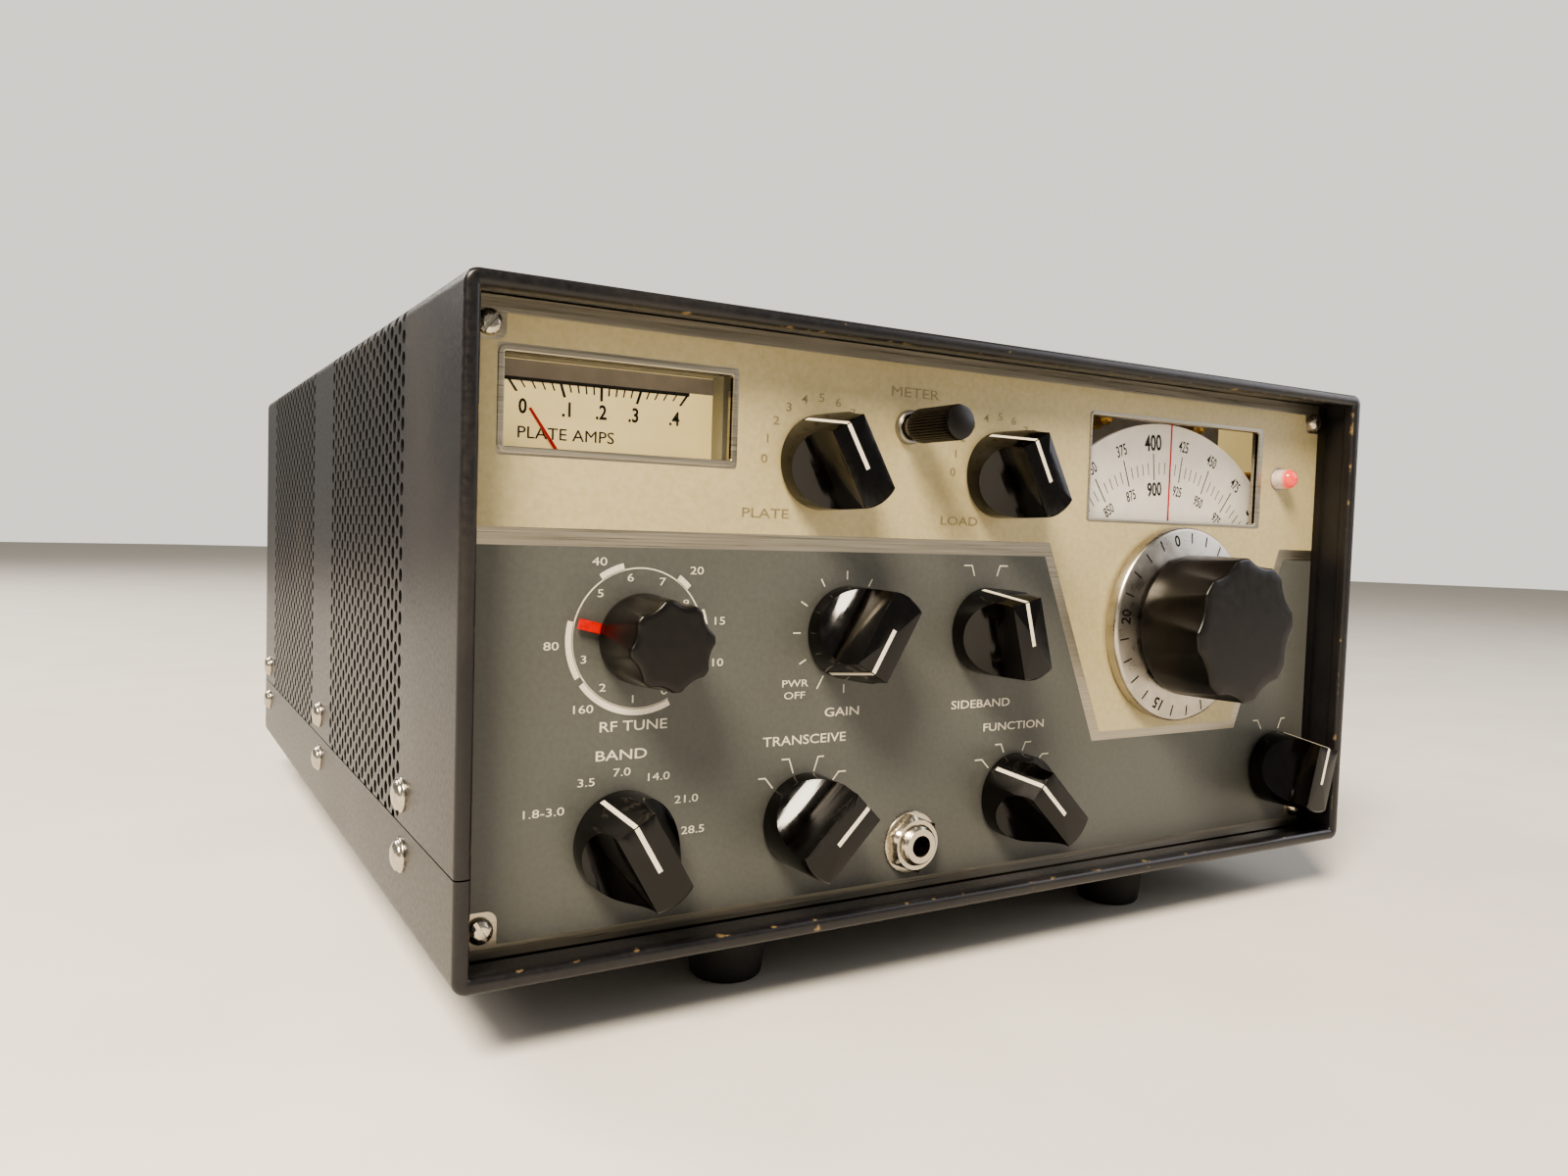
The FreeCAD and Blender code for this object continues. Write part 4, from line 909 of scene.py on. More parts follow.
lines = [arc(RF_TUNE, 14.75, 15.05, RF_ZERO, RF_ZERO - 10 * RF_STEP, 96)]
for a0, a1 in ((297.5, 216.3), (210.6, 165.9), (124.4, 104.0), (55.7, 43.4), (22.0, 10.0),
               (-9.0, -18.0)):
    lines.append(arc(RF_TUNE, 14.9, 16.35, a0, a1))
for path in (((-48.9, 56.8), (-50.6, 53.8)), ((-59.5, 37.8), (-57.5, 37.8), (-56.3, 34.4)),
             ((-65.5, 33.8), (-63.7, 33.8), (-61.7, 31.4)),
             ((-48, 37.8), (-49.6, 37.8), (-50.7, 34.4)),
             ((-41.7, 33.8), (-43.7, 33.8), (-45.8, 31.4)),
             ((4.6, 36.8), (6.6, 36.8), (7.6, 34.6)), ((-2, 33.2), (0.3, 33.2), (2.6, 30.9)),
             ((17, 36.8), (15, 36.8), (14.0, 34.6)), ((23.3, 33.2), (21.1, 33.2), (18.9, 30.9)),
             ((-8.0, 83.0), (-5.4, 83.0), (-4.5, 80.4)), ((6.4, 83.0), (3.8, 83.0), (2.9, 80.4)),
             ((107.4, 37.0), (109.6, 37.0), (111.4, 34.2)),
             ((122.6, 37.0), (120.9, 37.0), (119.5, 34.0))):
    lines.append(stroke(path, 0.32))
prints("panel_lines_white", lines, INK, off_white, "root")

# %% [markdown]
# Ticks round an axis are one small bar repeated by a rule, which is work for a node tree: it
# counts out points, turns each by a step and leaves out every so many, where a longer tick or a
# number stands.

# %% Node tree: a ring of ticks
ticks, given = new_tree("ring_of_ticks", (("Count", "Int"), ("First angle", "Float"),
                                          ("Step", "Float"), ("Inner radius", "Float"),
                                          ("Outer radius", "Float"), ("Width", "Float"),
                                          ("Thickness", "Float"), ("Leave out every", "Float"),
                                          ("Centre", "Vector"), ("Finish", "Material")))
index = add(ticks, "GeometryNodeInputIndex")[0]
value = {label: given[label] for label in given.keys()}
value["index"] = index
for label, operation, one, two in (
    ("turned", "MULTIPLY", "index", "Step"), ("angle", "ADD", "turned", "First angle"),
    ("sum", "ADD", "Inner radius", "Outer radius"), ("middle", "MULTIPLY", "sum", 0.5),
    ("length", "SUBTRACT", "Outer radius", "Inner radius"), ("cosine", "COSINE", "angle", 0.0),
    ("sine", "SINE", "angle", 0.0), ("x", "MULTIPLY", "cosine", "middle"),
    ("z", "MULTIPLY", "sine", "middle"), ("lean", "MULTIPLY", "angle", -1.0),
    ("left over", "MODULO", "index", "Leave out every"), ("kept", "GREATER_THAN", "left over", 0.5),
    ("none", "LESS_THAN", "Leave out every", 0.5), ("shown", "MAXIMUM", "kept", "none"),
):
    pair = {0: value.get(one, one), 1: value.get(two, two)}
    value[label] = add(ticks, "ShaderNodeMath", pair, operation=operation)[0]
spot = add(ticks, "ShaderNodeCombineXYZ", {"X": value["x"], "Z": value["z"]})[0]
spot = add(ticks, "ShaderNodeVectorMath", {0: spot, 1: given["Centre"]}, operation="ADD")[0]
points = add(ticks, "GeometryNodePoints", {"Count": given["Count"], "Position": spot})[0]
box_size = {"X": value["length"], "Y": given["Thickness"], "Z": given["Width"]}
bar = add(ticks, "ShaderNodeCombineXYZ", box_size)[0]
bar = add(ticks, "GeometryNodeMeshCube", {"Size": bar})[0]
lean = add(ticks, "ShaderNodeCombineXYZ", {"Y": value["lean"]})[0]
lean = add(ticks, "FunctionNodeEulerToRotation", {"Euler": lean})[0]
bars = add(ticks, "GeometryNodeInstanceOnPoints", {"Points": points, "Instance": bar,
           "Selection": value["shown"], "Rotation": lean})[0]
bars = add(ticks, "GeometryNodeRealizeInstances", {"Geometry": bars})[0]
bars = add(ticks, "GeometryNodeSetMaterial", {"Geometry": bars, "Material": given["Finish"]})[0]
add(ticks, "NodeGroupOutput", {"Geometry": bars})


def tick_ring(name, place, depth, count, first, step, radii, width, skip, ink, body,
              drape=None):
    """A ring of ticks; angles in degrees counter-clockwise from the right, sizes in mm."""
    sizes = {"Count": count, "First angle": math.radians(first), "Step": math.radians(step),
             "Inner radius": radii[0] * MM, "Outer radius": radii[1] * MM, "Width": width * MM,
             "Thickness": 0.03 * MM, "Leave out every": float(skip), "Finish": ink,
             "Centre": at(place[0], depth, place[1])}
    piece = plain(grown(name, ticks, bpy.data.meshes.new(name), sizes))
    if drape:
        for vert in piece.data.vertices:
            vert.co.y = drape(vert.co)
    return settle(piece, body)


tick_ring("gain_ticks", AXIS["gain_turn"], INK, 11, 210, -30, (12.4, 14.4), 0.3, 0, off_white,
          "root")

# %% [markdown]
# ## The tuning dial
# A white disc turns behind the window. Its outer ring counts 0 to 500 and the inner one 500 to
# 1000, one tick for every five. Hundreds are bold and the rest condensed.
# A clear window stands in front with a red hairline drawn on its back. Behind the disc the
# sub-panel carries two films: a taupe one with holes for the two dial lamps, which is painted
# shade, and by the pilot lamp a cream one whose glow is painted light for the lamp lighting the
# housing.

# %% Dial disc printing
DISC = (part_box("dial_disc")[0].y - FRONT) / MM - INK_RISE
LONG_STEP = 360 / 25
ZERO = 95.8 + 16 * LONG_STEP
tick_ring("dial_fine_ticks", TUNING, DISC, 101, ZERO, -LONG_STEP / 5, (42.6, 46.0), 0.24, 5,
          black_ink, "dial_disc")
tick_ring("dial_long_ticks", TUNING, DISC, 21, ZERO, -LONG_STEP, (41.0, 48.6), 0.34, 0, black_ink,
          "dial_disc")
bold, light = [], []
for step in range(21):
    mark = 25 * step
    angle = ZERO - step * LONG_STEP
    for number, radius, large, small in ((mark, 51.4, 4.3, 3.1), (mark + 500, 38.2, 3.7, 2.8)):
        word = (str(number), *polar(TUNING, radius, angle))
        if number % 100 == 0:
            bold.append((*word, large, angle - 90, 0.72, 0.12))
        else:
            light.append((*word, small, angle - 90, 0.62, 0.03))
lettering("dial_hundreds", bold, DISC, black_ink, "dial_disc")
lettering("dial_numbers", light, DISC, black_ink, "dial_disc")

GLASS_BACK = (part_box("dial_window")[1].y - FRONT) / MM
hair = block(TUNING[0] - 0.3, TUNING[0] + 0.3, GLASS_BACK, GLASS_BACK + 0.05, 95.4, 125.4)
fitted("dial_hairline", placed(hair, (0, 0)), red_paint, "root")
SUB_FACE = (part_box("control_nuts")[1].y - FRONT) / MM
lamps = [circle((50.0, 125.5), 3.7), circle((89.0, 125.5), 3.7)]
# The taupe film is painted shade; the cream film is a painted glow of the pilot lamp on the
# housing.
DIAL_BACKS = (("dial_backing", 23.0, 108.9, lamps, painted_shade),
              ("dial_reflector", 109.0, 127.0, [circle(LAMP, 3.7)], painted_glow_cream))
for name, x0, x1, holes, paint in DIAL_BACKS:
    film(name, [corners(x0, x1, 88.0, 130.0)] + holes, SUB_FACE - 0.08, SUB_FACE - 0.02, paint,
         "root")

# %% [markdown]
# ## The meter
# Five long ticks and sixteen short ones hang from a black bar on the cream card. The meter
# needle turns about a pivot hidden below the window, so every tick aims at that pivot.

# %% Meter scale
CARD = (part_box("meter_scale")[0].y - FRONT) / MM - 0.04
BAR, BAR_TOP = 119.6, 120.05
FIRST_LEAN, LEAN_STEP = 35.2, 17.6


def hung(number):
    """The lean of a scale number's line to the pivot, and where that line meets the bar."""
    lean = math.radians(FIRST_LEAN - LEAN_STEP * number)
    return lean, PIVOT[0] - (BAR - PIVOT[1]) * math.tan(lean)


marks = [corners(-123.0, -81.2, BAR - 0.3, BAR_TOP)]
for i in range(21):
    lean, foot = hung(i / 5)
    long, half = (3.1, 0.3) if i % 5 == 0 else (1.9, 0.17)
    tip = (foot + long * math.sin(lean), BAR - long * math.cos(lean))
    marks.append([(foot - half, BAR), (tip[0] - half, tip[1]), (tip[0] + half, tip[1]),
                  (foot + half, BAR)])
# Above the bar a taupe film covers the card: painted shade standing in for the shadowed top of the
# meter case.
film("meter_shade", [corners(-125.0, -75.4, BAR_TOP, 123.6)], CARD, CARD + 0.03, painted_shade,
     "root")
prints("meter_ticks", marks, CARD, black_ink, "root")
words = []
for i, text in enumerate(("0", ".1", ".2", ".3", ".4")):
    lean, foot = hung(i)
    words.append((text, foot + 5.4 * math.sin(lean), 114.0, 2.9, 0, 0.85, 0.09))
words.append(("PLATE AMPS", PIVOT[0] - 7.6, 108.7, 2.4, 0, 1.12, 0.0))
lettering("meter_numbers", words, CARD, black_ink, "root")

# %% [markdown]
# ## The bar knobs
# All eight are the same moulding: a short cylinder, hollowed by a large round scoop on each side
# so that a bar is left to grip, with its front end sloped to a nose and a white line inlaid
# along it. That is exactly how the shape is made, one lathe blank and three cutters, then the
# edges the cutters left are eased, because the thin bright lines along them make the knob read
# as glossy phenolic. It is made once and turned to each pointer's place.

# %% Bar knob
def cut_away(shape, cutters):
    """A shape less each cutter, by exact boolean."""
    blank = new_piece("blank", shape, phenolic)
    tools = []
    for cutter in cutters:
        tool = new_piece("cutter", cutter, phenolic)
        cut = blank.modifiers.new("cut", "BOOLEAN")
        cut.operation, cut.solver, cut.object = "DIFFERENCE", "EXACT", tool
        tools.append(tool)
    soft = blank.modifiers.new("soft", "BEVEL")
    soft.width, soft.segments, soft.limit_method = 0.34 * MM, 3, "ANGLE"
    soft.angle_limit, soft.harden_normals = math.radians(28), False
    plain(blank)
    result = bmesh.new()
    result.from_mesh(blank.data)
    for thing in tools + [blank]:
        bpy.data.objects.remove(thing)
    return result


KNOB_BACK, KNOB_FACE = PANEL - 0.6, PANEL - 18.0
NOSE_TOP, NOSE_FOOT, NOSE_DEPTH = 8.57, 10.9, 8.9
SCOOP_OUT, SCOOP_RADIUS = 17.4, 13.0
blank = [(0, KNOB_FACE), (10.2, KNOB_FACE), (10.6, KNOB_FACE + 0.4), (11.0, KNOB_BACK - 0.4),
         (10.7, KNOB_BACK), (0, KNOB_BACK)]
side = [(KNOB_FACE - 1, NOSE_TOP), (NOSE_DEPTH, NOSE_FOOT), (NOSE_DEPTH, 20), (KNOB_FACE - 1, 20)]
scoops = [circle((hand * SCOOP_OUT, KNOB_BACK - 15.8), SCOOP_RADIUS, 96) for hand in (-1, 1)]
cutters = [prism([[(x, d, z) for x, d in ring] for z in (-20, 20)]) for ring in scoops]
cutters.append(prism([[(x, d, z) for d, z in side] for x in (-15, 15)]))
knob = cut_away(turned(blank, 96), cutters)
print("bar knob faces", len(knob.faces))

# %% [markdown]
# The inlaid line starts behind the middle of the face and runs forward and down over the nose.
# It is a thin strip on each of the two flats, standing three hundredths proud.

# %% Pointer line and the eight knobs
def inlay():
    """The white line on a bar knob: along the face, then down the nose."""
    face, slope = KNOB_FACE - 0.03, (NOSE_FOOT - NOSE_TOP) / (NOSE_DEPTH - KNOB_FACE + 1)
    rows = [(-2.3, face), (8.45, face), (8.83, face + 0.3), (8.83 + slope * 15.2, face + 15.5)]
    return prism([[(-0.52, d, z), (0.52, d, z), (0.52, d + 0.14, z - 0.12),
                   (-0.52, d + 0.14, z - 0.12)] for z, d in rows])


POINTERS = {"plate": 120, "load": 118, "gain": 240, "sideband": 105, "band": 120, "transceive": 45,
            "function": 135, "crystal": 75}
for name, pointer in POINTERS.items():
    axis = AXIS[name + "_turn"]
    fitted(name + "_bar_knob", placed(knob.copy(), axis, pointer - 90), phenolic, name,
           [name + "_knob"], sharp=50)
    fitted(name + "_pointer_line", placed(inlay(), axis, pointer - 90), white_fill, name)
knob.free()

# %% [markdown]
# ## The fluted knobs
# Eight scallops run down the side of each round knob, as if milled by a cone, widest at the face
# and dying out just before the foot. A rule for the radius gives this directly: at each angle
# the wall is the blank's radius or the cone's edge, whichever is less, blended softly where they
# meet, since a moulded edge is never knife sharp.

# %% Fluted knobs
LOBE, FIRST_LOBE = 360 / 8, 30.5


def fluted(face, back, radius, centre, wide, narrow, foot, segments):
    """A round knob with eight scallops whose cutter narrows towards the foot."""
    end = back - foot
    levels = [face + 1.1] + [face + 2.0 + (end - face - 3.0) * i / 5 for i in range(6)]
    levels += [end - 0.7 * (1 - t) for t in (0.0, 0.4, 0.7, 0.9, 1.0)] + [end + 0.4, back - 0.5]
    rim = [(0, face), (radius * 0.8, face), (radius - 0.9, face), (radius - 0.55, face + 0.1),
           (radius - 0.3, face + 0.32), (radius - 0.2, face + 0.7)]
    side = [(radius - 0.2 + 0.3 * (d - face) / (back - face), d) for d in levels]
    tail = [(radius + 0.05, back - 0.15), (radius - 0.4, back), (0, back)]

    def rule(r, depth, angle):
        if depth > end - 1e-4:
            return r
        cutter = wide + (narrow - wide) * (depth - face) / (end - face)
        away = min(1.0, (end - depth) / 0.7)
        cutter *= math.sqrt(1 - 0.16 * (1 - away) ** 2)
        turn = (math.degrees(angle) - FIRST_LOBE + LOBE / 2) % LOBE - LOBE / 2
        turn = math.radians(turn)
        inner = max(cutter ** 2 - (centre * math.sin(turn)) ** 2, 0.0)
        bite = radius - 0.2 - centre * math.cos(turn) + math.sqrt(inner)
        if inner <= 0.0:
            return r
        soft = 0.022 * radius + 0.1
        bite = max(0.0, 0.5 * (bite + math.sqrt(bite * bite + soft * soft)) - 0.5 * soft)
        return r * (1 - bite / radius)

    return turned(rim + side + tail, segments, rule)


shape = fluted(PANEL - 25.0, PANEL - 6.0, 19.7, 29.6, 12.1, 10.2, 1.5, 240)
fitted("tuning_fluted_knob", placed(shape, TUNING), satin_phenolic, "tuning",
       ["tuning_knob"], sharp=40)
shape = fluted(PANEL - 17.7, PANEL - 1.6, 9.6, 14.1, 5.9, 4.8, 2.0, 160)
fitted("rf_tune_fluted_knob", placed(shape, RF_TUNE), satin_phenolic, "rf_tune",
       ["rf_tune_knob"], sharp=44)

# %% [markdown]
# ## The skirt dial
# A spun aluminium ring behind the tuning knob, gripped by friction so it can be slipped to set
# its zero. Its face is a shallow cone, and its black ticks and numbers must lie on that cone, so
# the print is made flat and then draped.

# %% Skirt dial
skirt = eased([(6.0, PANEL - 5.5), (18.5, PANEL - 5.5), (19.5, PANEL - 5.2),
               (26.9, PANEL - 4.3, 0.5), (27.5, PANEL - 3.6, 0.5), (27.5, PANEL - 0.8),
               (25.9, PANEL - 0.8), (25.9, PANEL - 2.8), (6.0, PANEL - 3.4)], 0.2, 4)
fitted("skirt_ring", placed(turned(skirt, 160), TUNING), spun, "tuning_skirt",
       ["tuning_skirt"], sharp=40)


def cone(spot):
    """The depth of the skirt's sloping face under a point, a little proud of it."""
    r = math.hypot(spot.x / MM - TUNING[0], (spot.z - BASE) / MM - TUNING[1])
    return FRONT + (PANEL - 5.2 + (r - 19.5) / 7.4 * 0.9 - 0.03) * MM


SKIRT_ZERO = 102
tick_ring("skirt_ticks", TUNING, 5.8, 25, SKIRT_ZERO, -LONG_STEP, (23.0, 26.0), 0.42, 5, black_ink,
          "tuning_skirt", cone)
words = []
for i in range(5):
    angle = SKIRT_ZERO - 5 * LONG_STEP * i
    words.append((str(5 * i), *polar(TUNING, 23.9, angle), 3.0, angle - 90, 0.95, 0.08))
lettering("skirt_numbers", words, 5.8, black_ink, "tuning_skirt", cone)

# %% [markdown]
# ## Meter switch and microphone jack
# The meter switch is a short lever in a bright bushing with a ribbed sleeve pushed over it. The
# ribs are a rule on the sleeve's radius. The same trick gives a hexagon nut its chamfer: the nut
# is turned first, and each point is then pulled in to the hexagon's flats, which leaves the
# curved corners that a real nut has.

# %% Meter switch
bushing = [(3.2, PANEL - 1.6), (3.65, PANEL - 1.85), (4.1, PANEL - 1.3), (4.1, PANEL), (3.4, PANEL),
           (3.4, PANEL + 2.6), (3.2, PANEL + 2.6)]
fitted("meter_switch_bushing", placed(turned(eased(bushing, 0.2), 56), SWITCH), plated_steel,
       "root")
box = block(-7, 7, PANEL + 2, PANEL + 15, -6.5, 6.5, 0.6)
fitted("meter_switch_case", placed(box, SWITCH), brown_phenolic, "root",
       ["meter_switch_body"])
ball = [polar((0, PANEL), 2.85, a) for a in range(-15, 70, 10)]
lever = [(0, -5.0), (1.6, -5.0), (1.6, 6.9), (2.7, 6.9), (2.6, 10.0), *ball, (1.2, 14.0),
         (1.2, 16.5), (0, 16.5)]
fitted("meter_switch_steel_lever", placed(turned(lever, 40), SWITCH), nickel, "meter_switch",
       ["meter_switch_lever"])


def ribbed(radius, depth, angle):
    """Thirty-six grooves down the sleeve, fading out at its shoulders."""
    if radius < 3.95:
        return radius
    return radius - 0.34 * (1 - abs(math.sin(18 * angle))) ** 2


sleeve = [(0, -9.0), (3.2, -9.0), (3.85, -8.7), (3.98, -8.1), (4.12, -7.8)]
sleeve += [(4.12, -7.0 + i * 2.1) for i in range(6)]
sleeve += [(4.12, 5.6), (3.9, 6.3), (3.6, 6.9), (1.61, 6.9), (1.61, -5.1), (0, -5.1)]
fitted("meter_switch_sleeve", placed(turned(sleeve, 288, ribbed), SWITCH), satin_phenolic,
       "meter_switch", ["meter_switch_cap"], sharp=50)

# %% Microphone jack
def hexed(across):
    """A rule that pulls a turned blank in to a hexagon's flats."""
    def rule(radius, depth, angle):
        turn = (math.degrees(angle) + 30) % 60 - 30
        return min(radius, across / 2 / math.cos(math.radians(turn))) if radius > 5.2 else radius
    return rule


def threaded(radius, start, end, pitch=0.8, cut=0.28):
    """The outside of a thread as a zigzag profile between two depths."""
    turns = int((end - start) / pitch)
    step = (end - start) / turns
    return [(radius - (cut if i % 2 else 0.0), start + step * i / 2) for i in range(2 * turns + 1)]


barrel = [(2.65, 6.0), (4.2, 6.0), *threaded(4.7, 6.5, 12.9), (6.5, 13.0), (6.5, 36.0),
          (2.65, 36.0)]
fitted("mic_jack_barrel", placed(turned(barrel, 48), MIC), nickel, "root",
       ["mic_jack"])
nut = [(4.75, 10.15), (4.75, 7.9), (5.1, 7.6), (6.15, 7.6), (7.33, 8.35), (7.33, 10.15)]
washer = eased([(4.75, 11.0), (4.75, 10.2), (7.75, 10.2), (7.75, 11.0)], 0.25)
both = joined([turned(nut, 96, hexed(12.7)), turned(washer, 64)])
fitted("mic_jack_hex_nut", placed(both, MIC, 8.0), nickel, "root",
       ["mic_jack_nut"], sharp=28)

# %% [markdown]
# Slotted pan heads hold the panel's corners and the rear flanges. The slot is cut once, then the
# screw is set out with a different turn each time, because real slots never line up.

# %% Slotted screws
ANTENNA, POWER_X, JACKS = (-104.0, 29.0), 98.0, 29.0
APRON = (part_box("antenna_socket")[1].y - FRONT) / MM - 16.0
pan = [(0, -2.1), (1.5, -2.0), (2.35, -1.45), (2.7, -0.7), (2.7, 0), (1.6, 0), (1.6, 6), (0, 6)]
screw = cut_away(turned(eased(pan, 0.3), 40), [block(-3, 3, -3.0, -1.25, -0.42, 0.42)])
places = []
for i, (x, height) in enumerate(((-128.8, 128.8), (128.8, 128.8), (-128.5, 8.6), (128.5, 8.6))):
    places.append((x, PANEL, height, (0, -math.radians(50 + 35 * i), 0)))
flanged = [(ANTENNA[0] + sx * 9.1, ANTENNA[1] + sz * 9.1) for sx in (-1, 1) for sz in (-1, 1)]
flanged += [(POWER_X + side * 23.5, JACKS) for side in (-1, 1)]
for i, (x, height) in enumerate(flanged):
    places.append((x, APRON + 1.6, height, (0, math.radians(20 + 50 * i), math.pi)))
settle(copies("slotted_screws", screw, places, nickel), "root", ["panel_screws"])

# %% [markdown]
# The pilot lens is a clear barrel over a red lamp: its root is colourless and its tip glows
# pinkish red. The two colours blend along its length, so the material reads the depth from
# Object coordinates.

# %% Pilot lens
lens_glass = surface("red_tipped_acrylic", ("D9C9C4", "E8DAD4"), (0.06, 0.14), 2, 0.0,
                     Specular_IOR_Level=0.6, Alpha=0.9)
tree = lens_glass.node_tree
shader = tree.nodes["Principled BSDF"]
where = add(tree, "ShaderNodeTexCoord")["Object"]
along = add(tree, "ShaderNodeSeparateXYZ", {0: where})["Y"]
tip = {0: along, 1: FRONT + 8.4 * MM, 2: FRONT + 6.6 * MM}
tip = add(tree, "ShaderNodeMapRange", tip)[0]
pale = shader.inputs["Base Color"].links[0].from_socket
tinted = add(tree, "ShaderNodeMix", {0: tip, 6: pale, 7: linear("E0504A")}, data_type="RGBA")[2]
tree.links.new(tinted, shader.inputs["Base Color"])
glow = add(tree, "ShaderNodeMix", {0: tip, 6: (0, 0, 0, 1), 7: linear("FF5A50")},
           data_type="RGBA")[2]
tree.links.new(glow, shader.inputs["Emission Color"])
shader.inputs["Emission Strength"].default_value = 0.35
barrel = [(0, 5.0), (1.2, 5.12), (2.1, 5.6), (2.65, 6.4), (2.9, 7.4), (2.9, 13.0), (3.3, 13.0),
          (3.3, 14.0), (0, 14.0)]
fitted("pilot_lens_barrel", placed(turned(eased(barrel, 0.3), 40), LAMP), lens_glass, "root",
       ["pilot_lens"])

# %% [markdown]
# ## Behind the panel
# The back of the cabinet is open, so what stands on the chassis is seen from behind. The output
# tubes sit in a punched steel cage, which the same node tree folds as it did the cover, and its
# two ends are plain plates with clearance for the capacitor shafts.

# %% Amplifier cage
DECK = (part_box("chassis")[1].z - BASE) / MM
cage_low, cage_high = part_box("amplifier_cage")
CAGE_LEFT, CAGE_RIGHT = cage_low.x / MM, cage_high.x / MM
CAGE_FRONT, CAGE_BACK = (cage_low.y - FRONT) / MM, (cage_high.y - FRONT) / MM
CAGE_TOP = (cage_high.z - BASE) / MM
half = (CAGE_RIGHT - CAGE_LEFT) / 2
wall, bend = 1.0, 1.5
run = half - bend + (bend - wall / 2) * math.pi / 2 + CAGE_TOP - bend - DECK
rows, columns = 56, 26
pitch = (2 * run / rows, (CAGE_BACK - CAGE_FRONT - 2 * wall) / columns)
sizes = {"Half width": half * MM, "Top": BASE + CAGE_TOP * MM, "Bend radius": bend * MM,
         "Sheet": wall * MM, "Middle": (CAGE_LEFT + half) * MM}
piece = punched("cage_perforated", rows, columns, pitch, 1.75, CAGE_FRONT + wall, sizes,
                plated_steel)
settle(piece, "root", ["amplifier_cage"], sharp=40)
outline = corners(CAGE_LEFT, CAGE_RIGHT, DECK, CAGE_TOP)
shafts = [circle(AXIS["plate_turn"], 5.0), circle(AXIS["load_turn"], 5.0)]
film("cage_front_plate", [outline] + shafts, CAGE_FRONT, CAGE_FRONT + wall, plated_steel, "root")
vents = []
for column in range(24):
    for row in range(16):
        x, height = CAGE_LEFT + 7.0 + 4.76 * column, DECK + 7.0 + 4.2 * row
        vents.append(circle((x + 2.38 * (row % 2), height), 1.6, 10))
film("cage_back_plate", [outline] + vents, CAGE_BACK - wall, CAGE_BACK, plated_steel, "root")

# %% [markdown]
# Each tube is a glass shell over a dark metal plate between two white mica discs, standing in a
# phenolic socket. The shell is a closed wall with an inner face, so light passes two real
# surfaces. All of one part of all the tubes is one mesh, made by setting a shape out on places.

# %% Tubes
def shell(outside, wall):
    """A glass wall: an outline and the same outline a little smaller, joined at the foot."""
    inner = [(max(r - wall, 0.0), h - (wall if r < 3 else wall * 0.3)) for r, h in outside[::-1]]
    return outside + inner


SMALL = ((62, 160), (62, 205), (62, 250), (-104, 160), (-104, 215), (-30, 130), (10, 130))
LARGE = ((-52, 262), (2, 262))
small = [(x, depth, 0.0, UPRIGHT) for x, depth in SMALL]
large = [(x, depth, 0.0, UPRIGHT) for x, depth in LARGE]
dome_small = [(8.9, DECK + 5.6), (9.2, DECK + 8), (9.2, 89.0), (8.8, 93.0), (7.4, 96.4),
              (4.2, 98.2), (1.9, 99.2), (1.2, 101.2), (0.0, 102.0)]
dome_large = [(13.4, DECK + 6), (14.8, DECK + 12), (14.8, 103.0), (14.0, 108.5), (11.4, 112.8),
              (7.5, 115.0), (0.0, 116.0)]
for name, places, outline, nodes in (("small_tube_glass", small, dome_small, ["small_tubes"]),
                                     ("large_tube_glass", large, dome_large, ["amplifier_tubes"])):
    profile = shell(eased(outline, 1.2), 0.7)
    settle(copies(name, turned(profile, 40), places, glass), "root", nodes)
foot = [(0, DECK), (10.5, DECK), (10.5, DECK + 5.0), (9.4, DECK + 6.2), (3.0, DECK + 6.2),
        (0, DECK + 6.2)]
anode = [(0, 61.5), (6.0, 61.5), (6.0, 84.5), (0, 84.5)]
mica = [(0, 60.2), (8.0, 60.2), (8.0, 60.8), (0, 60.8)]
lid = [(r, h + 25.2) for r, h in mica]
getter = [(2.2, 88.6), (3.4, 88.6), (3.4, 89.4), (2.2, 89.4)]


def flattened(radius, depth, angle):
    """Turns a round anode into the usual flat box with two fins."""
    side = abs(math.sin(angle))
    return radius * (1.0 - 0.34 * side) * (1.12 if side < 0.2 else 1.0)


foot_large = [(0, DECK), (13.0, DECK), (13.0, 56.0), (12.4, 60.0), (0, 60.0)]
big_anode = [(0, 67.0), (10.5, 67.0), (10.5, 100.0), (0, 100.0)]
cap = [(0, 122.5), (4.0, 122.5), (4.6, 121.9), (4.6, 115.6), (0, 115.6)]
big_mica = [(0, 65.2), (13.2, 65.2), (13.2, 66.0), (0, 66.0)]
big_lid = [(r, h + 36.2) for r, h in big_mica]
TUBE_PARTS = (
    ("small_tube_feet", small, [turned(eased(foot), 36)], brown_phenolic),
    ("small_tube_anodes", small, [turned(eased(anode), 36, flattened), turned(getter, 24)],
     dark_plate),
    ("small_tube_micas", small, [turned(mica, 24), turned(lid, 24)], ceramic),
    ("large_tube_bases", large, [turned(eased(foot_large), 48)], satin_phenolic),
    ("large_tube_anodes", large, [turned(eased(big_anode), 48, flattened)], dark_plate),
    ("large_tube_micas", large, [turned(big_mica, 32), turned(big_lid, 32)], ceramic),
    ("large_tube_caps", large, [turned(eased(cap), 32)], nickel),
)
for name, places, shapes, material in TUBE_PARTS:
    settle(copies(name, joined(shapes), places, material), "root")

# %% [markdown]
# The tuned transformers are square drawn aluminium cans with soft corners and a slug screw on
# top. Drawn tube keeps a lengthwise grain, so they share the mill-finish aluminium.

